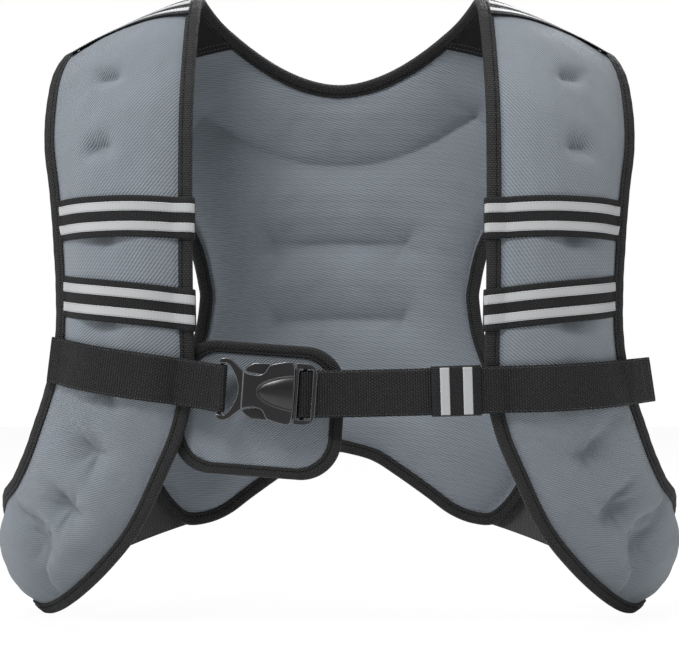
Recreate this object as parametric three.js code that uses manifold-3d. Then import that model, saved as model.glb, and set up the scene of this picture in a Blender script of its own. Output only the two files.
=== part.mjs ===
// A weighted training vest, in the shape that it has when it is worn.
// Padded neoprene panels with taped edges, striped elastic bands, and a webbing chest strap with a
// side release buckle. Millimetres, +Z up. The front faces -Y, and left is -X, as the front is seen.
// The origin is on the middle plane, at the level where the shoulders carry the vest.

import * as THREE from "three";
import { mergeGeometries, mergeVertices } from "three/addons/utils/BufferGeometryUtils.js";
import Module from "manifold-3d";

// Form of the worn vest
const NECK_HALF = 118; // middle to the neck end of the shoulder seam
const SHOULDER_WIDTH = 117; // neck end to arm end of the shoulder seam, level
const SHOULDER_FALL = 50; // drop of the shoulder seam over that width
const SEAM_RISE = 14; // neck end of the seam above the origin
const HALF_SPAN = 291; // middle to the outer end of a front panel
const FRONT_REACH = 114; // shoulder seam forward to the foremost edge
const FRONT_DROP = 529; // shoulder seam down to the lowest edge
const BACK_REACH = 112; // shoulder seam back to the middle of the back
const ARCH_DROP = 110; // height over which the shoulder turns down into the back
const ARCH_SHARE = 0.95; // length of that turn, as a share of a round quarter of the same mean reach
const SIDE_CURVE = 0.59; // share of the back's reach lost at the arm end of the shoulder
const RIDGE_SOFT = 30; // rounding of the cloth where the neck meets the shoulder's slope
const RIDGE_FROM = 60; // distance down the cloth over which that rounding grows
const LUMBAR = 8; // how far the hem leans in towards the body
const NECK_DIP = 116; // shoulder seam to the middle of the back neckline, along the cloth
const NECK_SHARP = 1.8; // exponent of the neckline's curve
const WAIST_HALF = 126.5; // half the back panel between the arm holes
const BACK_LENGTH = 452; // shoulder seam level to the middle of the hem, along the cloth
const LOBE_HALF = 186; // middle to the outer corner of a lower lobe
const LOBE_DROP = 58; // how far the lobes hang below the middle of the hem

// Padding and edges
const EDGE = 5; // thickness of the two neoprene skins, sewn together
const FRONT_PUFF = 22; // filling of a front panel
const FRONT_OUT = 0.66; // share of that filling on the outer face
const FRONT_CAMBER = 9; // how far a front panel bows across its width
const CAMBER_FROM = 0.2; // share of the panel's length over which the bow grows from the shoulder
const PUFF_SHARP = 2.3; // exponent of a front panel's rounding from its edge to its middle
const END_FROM = 0.93; // share along a front panel from which its last stretch is measured
const END_FALL = 24; // distance over which the filling ends at the lower end
const TACK_SHARP = 1.5; // exponent of a dimple's fall
const BACK_PUFF = 21; // filling of the back panel
const LIP = 10; // visible width of the binding tape
const FLAT = 1; // flat cloth between the tape and the filling
const TAPE = 1.5; // thickness of the binding tape
const GAP = 0.35; // clearance between pieces that lie on each other

// Bands and straps
const BAND_WIDTH = 34;
const BAND_THICK = 1;
const STRIP_WIDTH = 7.5;
const STRIP_THICK = 0.5;
const STRIP_OFFSET = 8; // middle of a band to the middle of each reflective strip
const BAND_RETURN = 0.2; // share of the panel's width that a band covers on its inner face
const WEB_WIDTH = 38;
const WEB_THICK = 1.6;
const TAIL = 62; // free end of the chest strap past the right panel
const BAND_LIFT = 0.5; // the bands lie loosely
const SIDE_BAND_THICK = 1.6;
const SIDE_PULL_X = 22; // how far the side elastics bow out from the body, and back
const SIDE_PULL_Y = 22;
const FACING_THICK = 1.2;
const FACING_LENGTH = 74; // shoulder seam to the end of the black facing, along the cloth

// Buckle and its guard
const BUCKLE_LENGTH = 80;
const BUCKLE_WIDTH = 51;
const BUCKLE_THICK = 13;
const BUCKLE_X = -59; // middle of the buckle
const BUCKLE_Z = -321;
const BUCKLE_FORWARD = 127;
const BUCKLE_TURN = 4; // degrees, right end down
const BAR = 3.2; // thickness of a bar that webbing turns round
const BAR_CORNER = 0.85; // corner of a bar from its middle, as a share of BAR
const FAR_BAR = -0.455; // place of the socket's bar, as a share of BUCKLE_LENGTH
const NEAR_BAR = 0.39; // and of the plug's
const BAR_BACK = 2.2; // how far the plug's bar lies behind the middle plane
const STRAP_RISE_LEFT = 22; // buckle bar to the arm hole edge
const STRAP_RISE_RIGHT = 8;
const STRAP_LIFT = 0.5; // the strap lies loosely on the panels
const KEEPER_X = 74; // inner end of the keeper
const KEEPER_WIDTH = 40;
const KEEPER_STRIPES = [7, 25.5]; // start of each reflective stripe from the keeper's inner end
const GUARD_WIDTH = 136;
const GUARD_HEIGHT = 106;
const GUARD_CORNER = 32;
const GUARD_PUFF = 3;
const GUARD_RINGS = [
  { scale: 0.55, fill: 0.75 },
  { scale: 0.2, fill: 1 },
];
const GUARD_LEFT = -6; // middle of the guard from the middle of the buckle
const GUARD_BELOW = 16;
const GUARD_ROOM = 11.6; // back of the buckle to the guard's middle plane
const GUARD_BEND = 0.39; // slope of its part behind the panel

// Edges of a front panel, from one row behind the shoulder seam to one row past the lower end.
// in is the edge at the neck and front opening, and out the edge at the arm hole. Each has x as a share
// of the way from the seam's end to HALF_SPAN, y as a share of FRONT_REACH and z of FRONT_DROP.
// puff is the share of the filling.
const FRONT_ROWS = [
  { inX: 0.0, inY: -0.15, inZ: 0.006, outX: 0.05, outY: -0.12, outZ: 0.008, puff: 0.1 },
  { inX: 0.0, inY: 0.0, inZ: 0.0, outX: 0.0, outY: 0.0, outZ: 0.0, puff: 0.1 },
  { inX: 0.006, inY: 0.15, inZ: 0.007, outX: 0.05, outY: 0.12, outZ: 0.009, puff: 0.12 },
  { inX: 0.012, inY: 0.32, inZ: 0.034, outX: 0.14, outY: 0.25, outZ: 0.038, puff: 0.35 },
  { inX: 0.017, inY: 0.53, inZ: 0.093, outX: 0.19, outY: 0.39, outZ: 0.087, puff: 0.8 },
  { inX: 0.022, inY: 0.77, inZ: 0.195, outX: 0.19, outY: 0.49, outZ: 0.155, puff: 1.0 },
  { inX: 0.019, inY: 0.91, inZ: 0.332, outX: 0.07, outY: 0.58, outZ: 0.246, puff: 1.0 },
  { inX: 0.012, inY: 0.98, inZ: 0.498, outX: -0.02, outY: 0.61, outZ: 0.382, puff: 1.0 },
  { inX: 0.006, inY: 1.0, inZ: 0.616, outX: 0.0, outY: 0.61, outZ: 0.471, puff: 1.0 },
  { inX: 0.052, inY: 0.98, inZ: 0.696, outX: 0.14, outY: 0.57, outZ: 0.533, puff: 1.0 },
  { inX: 0.139, inY: 0.93, inZ: 0.764, outX: 0.32, outY: 0.49, outZ: 0.586, puff: 1.05 },
  { inX: 0.272, inY: 0.79, inZ: 0.851, outX: 0.54, outY: 0.37, outZ: 0.643, puff: 1.1 },
  { inX: 0.436, inY: 0.6, inZ: 0.918, outX: 0.75, outY: 0.23, outZ: 0.684, puff: 1.15 },
  { inX: 0.616, inY: 0.33, inZ: 0.973, outX: 0.95, outY: 0.04, outZ: 0.709, puff: 1.15 },
  { inX: 0.751, inY: 0.07, inZ: 1.0, outX: 1.04, outY: -0.16, outZ: 0.733, puff: 1.1 },
  { inX: 0.838, inY: -0.14, inZ: 0.996, outX: 1.04, outY: -0.35, outZ: 0.752, puff: 1.0 },
  { inX: 0.89, inY: -0.35, inZ: 0.987, outX: 0.98, outY: -0.54, outZ: 0.767, puff: 1.0 },
];

// Tacks that hold the filling: at is the share along the panel, across the share from in to out,
// deep the share of the filling pressed out, and wide the radius in millimetres.
const TACKS = [
  { at: 0.236, across: 0.5, deep: 0.55, wide: 12 },
  { at: 0.313, across: 0.54, deep: 0.6, wide: 13 },
  { at: 0.385, across: 0.52, deep: 0.6, wide: 15 },
  { at: 0.449, across: 0.52, deep: 0.6, wide: 15 },
  { at: 0.535, across: 0.5, deep: 0.6, wide: 15 },
  { at: 0.652, across: 0.5, deep: 0.8, wide: 17 },
  { at: 0.742, across: 0.5, deep: 0.85, wide: 18 },
  { at: 0.83, across: 0.5, deep: 0.85, wide: 18 },
];

// Arm hole edge of the back panel, from the shoulder seam down to the lobe's outer corner. x is a share
// of the way from WAIST_HALF out to the seam's end above the waist, and to LOBE_HALF below it.
// w is the share of the way from the seam to the waist, and from the waist to the corner.
const ARM_HOLE_ABOVE = [
  { x: 1.0, w: 0.0 },
  { x: 0.98, w: 0.15 },
  { x: 0.85, w: 0.32 },
  { x: 0.61, w: 0.5 },
  { x: 0.33, w: 0.68 },
  { x: 0.1, w: 0.84 },
  { x: 0.0, w: 1.0 },
];
const ARM_HOLE_BELOW = [
  { x: 0.0, w: 0.0 },
  { x: 0.08, w: 0.27 },
  { x: 0.34, w: 0.57 },
  { x: 0.7, w: 0.81 },
  { x: 1.0, w: 1.0 },
];
const WAIST_AT = 0.665; // waist below the seam, as a share of BACK_LENGTH
const CORNER_AT = 0.94; // lobe corner below the seam, as a share of BACK_LENGTH
const ARM_SPLIT = 0.64; // share of the arm hole edge that lies above the waist

// Hem from the middle to the lobe's outer corner. x is a share of LOBE_HALF and drop of LOBE_DROP,
// below the middle of the hem.
const HEM = [
  { x: 0.0, drop: 0.0 },
  { x: 0.16, drop: 0.13 },
  { x: 0.29, drop: 0.38 },
  { x: 0.43, drop: 0.68 },
  { x: 0.55, drop: 0.93 },
  { x: 0.66, drop: 1.0 },
  { x: 0.77, drop: 0.88 },
  { x: 0.88, drop: 0.4 },
  { x: 1.0, drop: -0.468 },
];

// Sewn channels of the back panel. x is half the seam as a share of WAIST_HALF and w its place as a share
// of BACK_LENGTH. sag is how far its middle hangs below its ends, as the same share.
const CHANNELS = [
  { x: 1.0, w: 0.418, sag: 0.113 },
  { x: 0.487, w: 0.58, sag: 0 },
  { x: 0.467, w: 0.733, sag: 0 },
  { x: 0.46, w: 0.885, sag: 0 },
];
const SMILE_SHARP = 2.2; // exponent of a sagging seam's curve
const CHANNEL_DEEP = 0.92; // share of the filling that a seam presses out
const CHANNEL_FALL = 13; // distance over which the filling comes back beside a seam
const EDGE_FALL = 13; // and beside a bound edge
const SHOULDER_FILL = 0.1; // share of the filling on top of the shoulders
const FILL_FROM = 0.7; // where the shoulder's filling starts to grow, as a share of FACING_LENGTH
const FILL_TO = 1.8; // and where it is full

// Bands across the front panels, by the share along the panel of the band's middle
const BANDS = [
  { name: "upper_band", at: 0.3735 },
  { name: "lower_band", at: 0.4345 },
];
const SHOULDER_BAND = { name: "shoulder_band", at: 0.092 };
const STRAP_AT = 0.49; // chest strap along the panel, at its inner edge

// Steps of the solids
const PANEL_STEPS = 22;
const PANEL_END = [0.985, 1]; // last two stations along a front panel
const PANEL_INSET = 0.08; // second station across it, from the flat edge
const PANEL_COLUMNS = [0.34, 0.5, 0.66];
const BACK_COLUMNS = [0, 0.1, 0.27, 0.44, 0.61, 0.77, 0.91, 1];
const BACK_NECK_ROWS = [1, 0.88, 0.74, 0.6, 0.45, 0.3, 0.14, 0];
const BACK_MIDDLE_ROWS = [0.08, 0.24, 0.34, 0.4, 0.5, 0.66, 0.79, 0.88, 1];
const BACK_LOWER_ROWS = [0.14, 0.22, 0.34, 0.5, 0.64, 0.9, 1];
const ROW_FAN = 1.3; // how much lower a row ends at the arm hole than it starts at the neckline
const NUDGE = 0.004; // short step along a panel, and across it, to find directions
const NUDGE_ACROSS = 0.02;
const NUDGE_EDGE = 0.01;
const HALVINGS = 24;
const WELD = 1e-3; // corners nearer than this are one

// Colours, roughness and metalness
const GREY = { color: 0x808890, roughness: 0.8, metalness: 0 };
const BLACK = { color: 0x1c1c1e, roughness: 0.85, metalness: 0 };
const SILVER = { color: 0xb9babd, roughness: 0.45, metalness: 0 };
const PLASTIC = { color: 0x17181a, roughness: 0.35, metalness: 0 };

const wasm = await Module();
wasm.setup();

const vec = (x, y, z) => new THREE.Vector3(x, y, z);
const lerp = (a, b, t) => a + (b - a) * t;
const clamp = (value, low, high) => Math.min(high, Math.max(low, value));
const smooth = (low, high, value) => {
  const t = clamp((value - low) / (high - low), 0, 1);
  return t * t * (3 - 2 * t);
};
const steps = (count, from = 0, to = 1) =>
  Array.from({ length: count + 1 }, (_, i) => lerp(from, to, i / count));
const radians = (degrees) => (degrees * Math.PI) / 180;

// Place between low and high at which a test turns from true to false.
function turningPlace(low, high, test) {
  for (let i = 0; i < HALVINGS; i++) {
    const middle = (low + high) / 2;
    if (test(middle)) low = middle;
    else high = middle;
  }
  return low;
}

// A column of a table at a place between its rows, smooth through every row.
function column(rows, key, place) {
  const i = clamp(Math.floor(place), 0, rows.length - 2);
  const t = place - i;
  const at = (k) => rows[clamp(k, 0, rows.length - 1)][key];
  const [a, b, c, d] = [at(i - 1), at(i), at(i + 1), at(i + 2)];
  const bend = 2 * a - 5 * b + 4 * c - d;
  const twist = 3 * b - a - 3 * c + d;
  return 0.5 * (2 * b + (c - a) * t + bend * t * t + twist * t * t * t);
}

// Solids

// A closed geometry turned so that its faces point out.
function solidFrom(geometry) {
  const corner = (i) => new THREE.Vector3().fromBufferAttribute(geometry.attributes.position, i);
  const index = [...geometry.index.array];
  let volume = 0;
  for (let i = 0; i < index.length; i += 3) {
    const [a, b, c] = [corner(index[i]), corner(index[i + 1]), corner(index[i + 2])];
    volume += a.dot(b.cross(c));
  }
  if (volume < 0) geometry.setIndex(index.reverse());
  geometry.computeVertexNormals();
  return geometry;
}

function solid(points, triangles) {
  return solidFrom(new THREE.BufferGeometry().setFromPoints(points).setIndex(triangles.flat()));
}

// A slab between two grids of points, front[i][j] and back[i][j], closed round its rim.
function slab(front, back) {
  const rows = front.length;
  const columns = front[0].length;
  const points = [...front.flat(), ...back.flat()];
  const id = (side, i, j) => side * rows * columns + i * columns + j;
  const triangles = [];
  const quad = (a, b, c, d) => triangles.push([a, b, c], [a, c, d]);
  for (let i = 0; i + 1 < rows; i++) {
    for (let j = 0; j + 1 < columns; j++) {
      quad(id(0, i, j), id(0, i + 1, j), id(0, i + 1, j + 1), id(0, i, j + 1));
      quad(id(1, i, j), id(1, i, j + 1), id(1, i + 1, j + 1), id(1, i + 1, j));
    }
  }
  for (let i = 0; i + 1 < rows; i++) {
    quad(id(0, i + 1, 0), id(0, i, 0), id(1, i, 0), id(1, i + 1, 0));
    quad(id(0, i, columns - 1), id(0, i + 1, columns - 1), id(1, i + 1, columns - 1), id(1, i, columns - 1));
  }
  for (let j = 0; j + 1 < columns; j++) {
    quad(id(0, 0, j), id(0, 0, j + 1), id(1, 0, j + 1), id(1, 0, j));
    quad(id(0, rows - 1, j + 1), id(0, rows - 1, j), id(1, rows - 1, j), id(1, rows - 1, j + 1));
  }
  return solid(points, triangles);
}

// A flat profile carried along frames, each with a point o and the directions a and n of the profile.
function sweep(profile, frames, closed = false) {
  const sides = profile.length;
  const points = frames.flatMap((f) =>
    profile.map((p) => f.o.clone().addScaledVector(f.a, p.x).addScaledVector(f.n, p.y)),
  );
  const triangles = [];
  const spans = closed ? frames.length : frames.length - 1;
  for (let i = 0; i < spans; i++) {
    const here = i * sides;
    const next = ((i + 1) % frames.length) * sides;
    for (let k = 0; k < sides; k++) {
      const l = (k + 1) % sides;
      triangles.push([here + k, here + l, next + l], [here + k, next + l, next + k]);
    }
  }
  if (!closed) {
    const last = (frames.length - 1) * sides;
    for (const [a, b, c] of THREE.ShapeUtils.triangulateShape(profile, [])) {
      triangles.push([a, c, b], [last + a, last + b, last + c]);
    }
  }
  return solid(points, triangles);
}

const flatProfile = (width, thick) =>
  [
    [-0.5, -0.5],
    [0.5, -0.5],
    [0.5, 0.5],
    [-0.5, 0.5],
  ].map(([a, n]) => new THREE.Vector2(a * width, n * thick));

// Outside of a binding tape folded round an edge, grown by grow. a points from the edge into the panel.
function tapeProfile(grow) {
  const half = EDGE / 2 + GAP + TAPE + grow;
  const points = [
    [-TAPE - grow, -half],
    [LIP + grow, -half],
    [LIP + grow, half],
    [-TAPE - grow, half],
  ];
  return points.map(([a, n]) => new THREE.Vector2(a, n));
}

function toManifold(geometry) {
  const bare = geometry.clone();
  bare.deleteAttribute("normal");
  bare.deleteAttribute("uv");
  const merged = mergeVertices(bare, WELD / 10);
  const mesh = new wasm.Mesh({
    numProp: 3,
    vertProperties: new Float32Array(merged.attributes.position.array),
    triVerts: new Uint32Array(merged.index.array),
  });
  return new wasm.Manifold(mesh);
}

function fromManifold(manifold) {
  const mesh = manifold.getMesh();
  const geometry = new THREE.BufferGeometry();
  geometry.setAttribute("position", new THREE.BufferAttribute(mesh.vertProperties, 3));
  geometry.setIndex([...mesh.triVerts]);
  geometry.computeVertexNormals();
  return geometry;
}

// A solid with others cut out of it.
function cut(geometry, tools) {
  let left = toManifold(geometry);
  for (const tool of tools) left = left.subtract(toManifold(tool));
  return fromManifold(left);
}

function mirrored(geometry) {
  const copy = geometry.clone().scale(-1, 1, 1);
  const index = [...copy.index.array];
  for (let i = 0; i < index.length; i += 3) {
    [index[i + 1], index[i + 2]] = [index[i + 2], index[i + 1]];
  }
  copy.setIndex(index);
  copy.computeVertexNormals();
  return copy;
}

const group = new THREE.Group();

function add(name, geometry, look) {
  const mesh = new THREE.Mesh(geometry, new THREE.MeshStandardMaterial(look));
  mesh.name = name;
  group.add(mesh);
}

// A piece of the right half and its mirror image on the left, both cut by the same tools.
function addPair(name, geometry, look, tools = []) {
  add(name + "_right", cut(geometry, tools), look);
  add(name + "_left", cut(mirrored(geometry), tools), look);
}

// Right front panel, as a surface over u along it and v across it, from in to out

const frontPlace = (u) => 1 + u * (FRONT_ROWS.length - 3);

function frontEdge(u, side) {
  const start = side === "in" ? NECK_HALF : NECK_HALF + SHOULDER_WIDTH;
  const top = side === "in" ? SEAM_RISE : SEAM_RISE - SHOULDER_FALL;
  const share = (axis) => column(FRONT_ROWS, side + axis, frontPlace(u));
  return vec(
    start + share("X") * (HALF_SPAN - start),
    -share("Y") * FRONT_REACH,
    top - share("Z") * FRONT_DROP,
  );
}

function frontMiddle(u, v) {
  const inner = frontEdge(u, "in");
  const outer = frontEdge(u, "out");
  const along = frontEdge(u + NUDGE, "in").add(frontEdge(u + NUDGE, "out"));
  along.sub(frontEdge(u - NUDGE, "in")).sub(frontEdge(u - NUDGE, "out"));
  const out = vec(0, 0, 0).crossVectors(along, outer.clone().sub(inner)).normalize();
  const bow = FRONT_CAMBER * (1 - (2 * v - 1) ** 2) * smooth(0, CAMBER_FROM, u);
  return inner.lerp(outer, v).addScaledVector(out, bow);
}

// The middle surface with its directions: along it, across it towards out, and outward.
function frontFrame(u, v) {
  const o = frontMiddle(u, v);
  const along = frontMiddle(u + NUDGE, v).sub(frontMiddle(u - NUDGE, v)).normalize();
  const across = frontMiddle(u, v + NUDGE_ACROSS).sub(frontMiddle(u, v - NUDGE_ACROSS)).normalize();
  const n = vec(0, 0, 0).crossVectors(along, across).normalize();
  return { o, along, across, n };
}

const frontWidth = (u) => frontEdge(u, "in").distanceTo(frontEdge(u, "out"));
const LAST_STRETCH = frontEdge(END_FROM, "out").distanceTo(frontEdge(1, "out"));

// Share of the filling at a place, with or without the tacks pressed in.
function frontFill(u, v, withTacks) {
  const width = frontWidth(u);
  const beyondLip = Math.min(v, 1 - v) * width - LIP - FLAT;
  const reach = clamp(beyondLip / (width / 2 - LIP - FLAT), 0, 1);
  const fromEnd = ((1 - u) / (1 - END_FROM)) * LAST_STRETCH;
  const end = Math.sqrt(1 - (1 - clamp(fromEnd / END_FALL, 0, 1)) ** 2);
  let fill = (1 - (1 - reach) ** PUFF_SHARP) * column(FRONT_ROWS, "puff", frontPlace(u)) * end;
  if (!withTacks) return fill;
  const here = frontMiddle(u, v);
  for (const tack of TACKS) {
    const distance = here.distanceTo(frontMiddle(tack.at, tack.across));
    fill *= 1 - tack.deep * Math.exp(-((distance / tack.wide) ** TACK_SHARP));
  }
  return fill;
}

// A point on a face of the front panel, raised by lift. face is 1 outside and -1 inside.
function frontPoint(u, v, face, lift = 0, withTacks = true) {
  const { o, n } = frontFrame(u, v);
  const share = face > 0 ? FRONT_OUT : 1 - FRONT_OUT;
  const height = EDGE / 2 + share * FRONT_PUFF * frontFill(u, v, withTacks) + lift;
  return o.addScaledVector(n, face * height);
}

// The panel, or the same panel grown all round by grow, as a tool to cut what wraps round it.
function frontPanel(grow = 0) {
  const stations = (u) => {
    const lip = (LIP + FLAT) / frontWidth(u);
    const rim = (2 * grow) / frontWidth(u);
    const inset = lip + PANEL_INSET;
    return [-rim, lip, inset, ...PANEL_COLUMNS, 1 - inset, 1 - lip, 1 + rim];
  };
  const [next, last] = PANEL_END;
  const start = GAP / (2 * FRONT_DROP);
  const main = steps(PANEL_STEPS - 1, start, next - (last - next));
  const along = [...main, next, last + grow / (FRONT_DROP / 2)];
  const face = (side) => along.map((u) => stations(u).map((v) => frontPoint(u, v, side, grow)));
  return slab(face(1), face(-1));
}

// Back panel: a cloth pattern laid over the shoulders, x across and w down along the cloth

const ARCH_LENGTH = ((ARCH_DROP + BACK_REACH) / 2) * (Math.PI / 2) * ARCH_SHARE;
const SEAM_HALF = NECK_HALF + SHOULDER_WIDTH;

function backSheet(x, w) {
  const beyond = Math.abs(x) - NECK_HALF;
  const soft = RIDGE_SOFT * smooth(0, RIDGE_FROM, w);
  const ramp = (beyond + Math.sqrt(beyond * beyond + soft * soft)) / 2;
  const top = SEAM_RISE - (SHOULDER_FALL / SHOULDER_WIDTH) * ramp;
  const reach = BACK_REACH * (1 - SIDE_CURVE * (x / SEAM_HALF) ** 2);
  const turn = clamp(w / ARCH_LENGTH, -1, 1) * (Math.PI / 2);
  const below = Math.max(0, w - ARCH_LENGTH);
  const lean = LUMBAR * smooth(ARCH_LENGTH, BACK_LENGTH, w);
  return vec(x, reach * Math.sin(turn) - lean, top - ARCH_DROP * (1 - Math.cos(turn)) - below);
}

function backFrame(x, w) {
  const o = backSheet(x, w);
  const across = backSheet(x + 0.5, w).sub(backSheet(x - 0.5, w)).normalize();
  const down = backSheet(x, w + 0.5).sub(backSheet(x, w - 0.5)).normalize();
  return { o, across, down, n: vec(0, 0, 0).crossVectors(across, down).normalize() };
}

// Points of the pattern's outline, each for a share of the way along its edge.
function neckEdge(t) {
  const angle = t * (Math.PI / 2);
  const x = NECK_HALF * Math.sin(angle) ** (2 / NECK_SHARP);
  return { x, w: NECK_DIP * Math.abs(Math.cos(angle)) ** (2 / NECK_SHARP) };
}

function armEdge(t) {
  const waist = WAIST_AT * BACK_LENGTH;
  if (t < ARM_SPLIT) {
    const place = (t / ARM_SPLIT) * (ARM_HOLE_ABOVE.length - 1);
    return {
      x: WAIST_HALF + column(ARM_HOLE_ABOVE, "x", place) * (SEAM_HALF - WAIST_HALF),
      w: column(ARM_HOLE_ABOVE, "w", place) * waist,
    };
  }
  const place = ((t - ARM_SPLIT) / (1 - ARM_SPLIT)) * (ARM_HOLE_BELOW.length - 1);
  return {
    x: WAIST_HALF + column(ARM_HOLE_BELOW, "x", place) * (LOBE_HALF - WAIST_HALF),
    w: lerp(waist, CORNER_AT * BACK_LENGTH, column(ARM_HOLE_BELOW, "w", place)),
  };
}

function hemEdge(c) {
  const place = c * (HEM.length - 1);
  const corner = CORNER_AT * BACK_LENGTH;
  const drop = column(HEM, "drop", place) * LOBE_DROP;
  const w = c > 0.999 ? corner : BACK_LENGTH + drop;
  return { x: column(HEM, "x", place) * LOBE_HALF, w };
}

// The arm hole edge at a place down the cloth
const armAt = (w) => turningPlace(0, 1, (t) => armEdge(t).w < w);

// An edge's point moved outward by grow. turn is the side on which the panel lies.
function edgePoint(edge, t, turn, grow) {
  const p = edge(t);
  const [before, after] = [edge(Math.max(0, t - NUDGE_EDGE)), edge(Math.min(1, t + NUDGE_EDGE))];
  const [dx, dw] = [after.x - before.x, after.w - before.w];
  const far = Math.hypot(dx, dw);
  return { x: p.x + (turn * grow * dw) / far, w: p.w - (turn * grow * dx) / far };
}

// Rows of the right half of the pattern: down the neckline, down the middle to the waist, and on to the
// hem. Each row goes from the neckline or the middle to the arm hole.
function backRows(grow) {
  const waist = WAIST_AT * BACK_LENGTH;
  const straight = (inner, outer) =>
    BACK_COLUMNS.map((v) => ({ x: lerp(inner.x, outer.x, v), w: lerp(inner.w, outer.w, v) }));
  const arm = (w) => edgePoint(armEdge, armAt(w), 1, grow);
  const neck = BACK_NECK_ROWS.map((t) => {
    const inner = edgePoint(neckEdge, t, 1, grow);
    if (t === 0) inner.x = 0;
    const row = straight(inner, arm(Math.max(inner.w, 0) * ROW_FAN));
    return t < 1 ? row : row.map((p) => ({ x: p.x, w: GAP - 2 * grow }));
  });
  const middle = BACK_MIDDLE_ROWS.map((share) => {
    const inner = { x: 0, w: lerp(NECK_DIP, waist, share) };
    return straight(inner, arm(lerp(NECK_DIP * ROW_FAN, waist, share)));
  });
  const lower = BACK_LOWER_ROWS.map((share) =>
    BACK_COLUMNS.map((v) => {
      const hem = edgePoint(hemEdge, v, -1, grow);
      const corner = hemEdge(1);
      const side = arm(lerp(waist, corner.w, share));
      const x = lerp(v * WAIST_HALF, hem.x, share) + v * (side.x - lerp(WAIST_HALF, LOBE_HALF, share));
      const w = lerp(waist, hem.w, share) + v * (side.w - lerp(waist, corner.w, share));
      return { x: v === 0 ? 0 : x, w };
    }),
  );
  return { rows: [...neck, ...middle, ...lower], neckRows: neck.length };
}

function distanceToLine(p, a, b) {
  const [dx, dw] = [b.x - a.x, b.w - a.w];
  const t = clamp(((p.x - a.x) * dx + (p.w - a.w) * dw) / (dx * dx + dw * dw || 1), 0, 1);
  return Math.hypot(p.x - a.x - t * dx, p.w - a.w - t * dw);
}

function distanceToLines(p, line) {
  let nearest = Infinity;
  for (let i = 0; i + 1 < line.length; i++) {
    nearest = Math.min(nearest, distanceToLine(p, line[i], line[i + 1]));
  }
  return nearest;
}

const OUTLINE = [
  steps(20).map(neckEdge),
  steps(36).map(armEdge),
  steps(30).map(hemEdge),
];
const CHANNEL_LINES = CHANNELS.map((seam) =>
  steps(8, -1, 1).map((s) => ({
    x: s * seam.x * WAIST_HALF,
    w: (seam.w - seam.sag * Math.abs(s) ** SMILE_SHARP) * BACK_LENGTH,
  })),
);

function backFill(x, w) {
  const p = { x: Math.abs(x), w };
  const edge = Math.min(...OUTLINE.map((line) => distanceToLines(p, line))) - LIP - FLAT;
  let fill = 1 - Math.exp(-Math.max(0, edge) / EDGE_FALL);
  fill *= lerp(SHOULDER_FILL, 1, smooth(FACING_LENGTH * FILL_FROM, FACING_LENGTH * FILL_TO, w));
  for (const line of CHANNEL_LINES) {
    fill *= 1 - CHANNEL_DEEP * Math.exp(-distanceToLines({ x, w }, line) / CHANNEL_FALL);
  }
  return fill;
}

// A point on a face of the back panel. face is 1 outside and -1 towards the wearer.
function backPoint(x, w, face, lift = 0) {
  const { o, n } = backFrame(x, w);
  const height = EDGE / 2 + 0.5 * BACK_PUFF * backFill(x, w) + lift;
  return o.addScaledVector(n, face * height);
}

// The panel from its right half, closed round the rim and joined to its mirror image along the middle.
// grow is as for a front panel.
function backPanel(grow = 0) {
  const { rows, neckRows } = backRows(grow);
  const [last, columns] = [rows.length - 1, BACK_COLUMNS.length];
  const points = [1, -1].flatMap((face) => rows.flat().map((p) => backPoint(p.x, p.w, face, grow)));
  const id = (side, i, j) => side * rows.length * columns + i * columns + j;
  const index = [];
  const quad = (a, b, c, d) => index.push(a, b, c, a, c, d);
  for (let i = 0; i < last; i++) {
    for (let j = 0; j + 1 < columns; j++) {
      quad(id(0, i, j), id(0, i, j + 1), id(0, i + 1, j + 1), id(0, i + 1, j));
      quad(id(1, i, j), id(1, i + 1, j), id(1, i + 1, j + 1), id(1, i, j + 1));
    }
    quad(id(0, i, columns - 1), id(1, i, columns - 1), id(1, i + 1, columns - 1), id(0, i + 1, columns - 1));
    if (i < neckRows - 1) quad(id(0, i, 0), id(0, i + 1, 0), id(1, i + 1, 0), id(1, i, 0));
  }
  for (let j = 0; j + 1 < columns; j++) {
    quad(id(0, 0, j), id(1, 0, j), id(1, 0, j + 1), id(0, 0, j + 1));
    quad(id(0, last, j), id(0, last, j + 1), id(1, last, j + 1), id(1, last, j));
  }
  const half = new THREE.BufferGeometry().setFromPoints(points).setIndex(index);
  const other = half.clone().scale(-1, 1, 1);
  other.setIndex([...index].reverse());
  return solidFrom(mergeVertices(mergeGeometries([half, other]), WELD));
}

// Bindings

// Frames along an edge of the back panel, from its points on the pattern. a points into the panel.
function backEdgeFrames(points, inward) {
  return points.map((p, i) => {
    const { o, n } = backFrame(p.x, p.w);
    const before = points[Math.max(0, i - 1)];
    const after = points[Math.min(points.length - 1, i + 1)];
    const along = backSheet(after.x, after.w).sub(backSheet(before.x, before.w));
    const a = vec(0, 0, 0).crossVectors(n, along).normalize().multiplyScalar(inward);
    return { o, a, n };
  });
}

function frontEdgeFrames(side, places) {
  return places.map((u) => {
    const { o, along, across, n } = frontFrame(u, side === "in" ? 0 : 1);
    const a = vec(0, 0, 0).crossVectors(n, along).normalize();
    if (a.dot(across) * (side === "in" ? 1 : -1) < 0) a.negate();
    return { o, a, n };
  });
}

const mirrorPoint = (p) => vec(-p.x, p.y, p.z);
const mirrorFrame = (f) => ({ o: mirrorPoint(f.o), a: mirrorPoint(f.a), n: mirrorPoint(f.n) });

// All that the tape folds round, with the tape's clearance
const PANELS = [backPanel(GAP), frontPanel(GAP), mirrored(frontPanel(GAP))];

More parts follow.
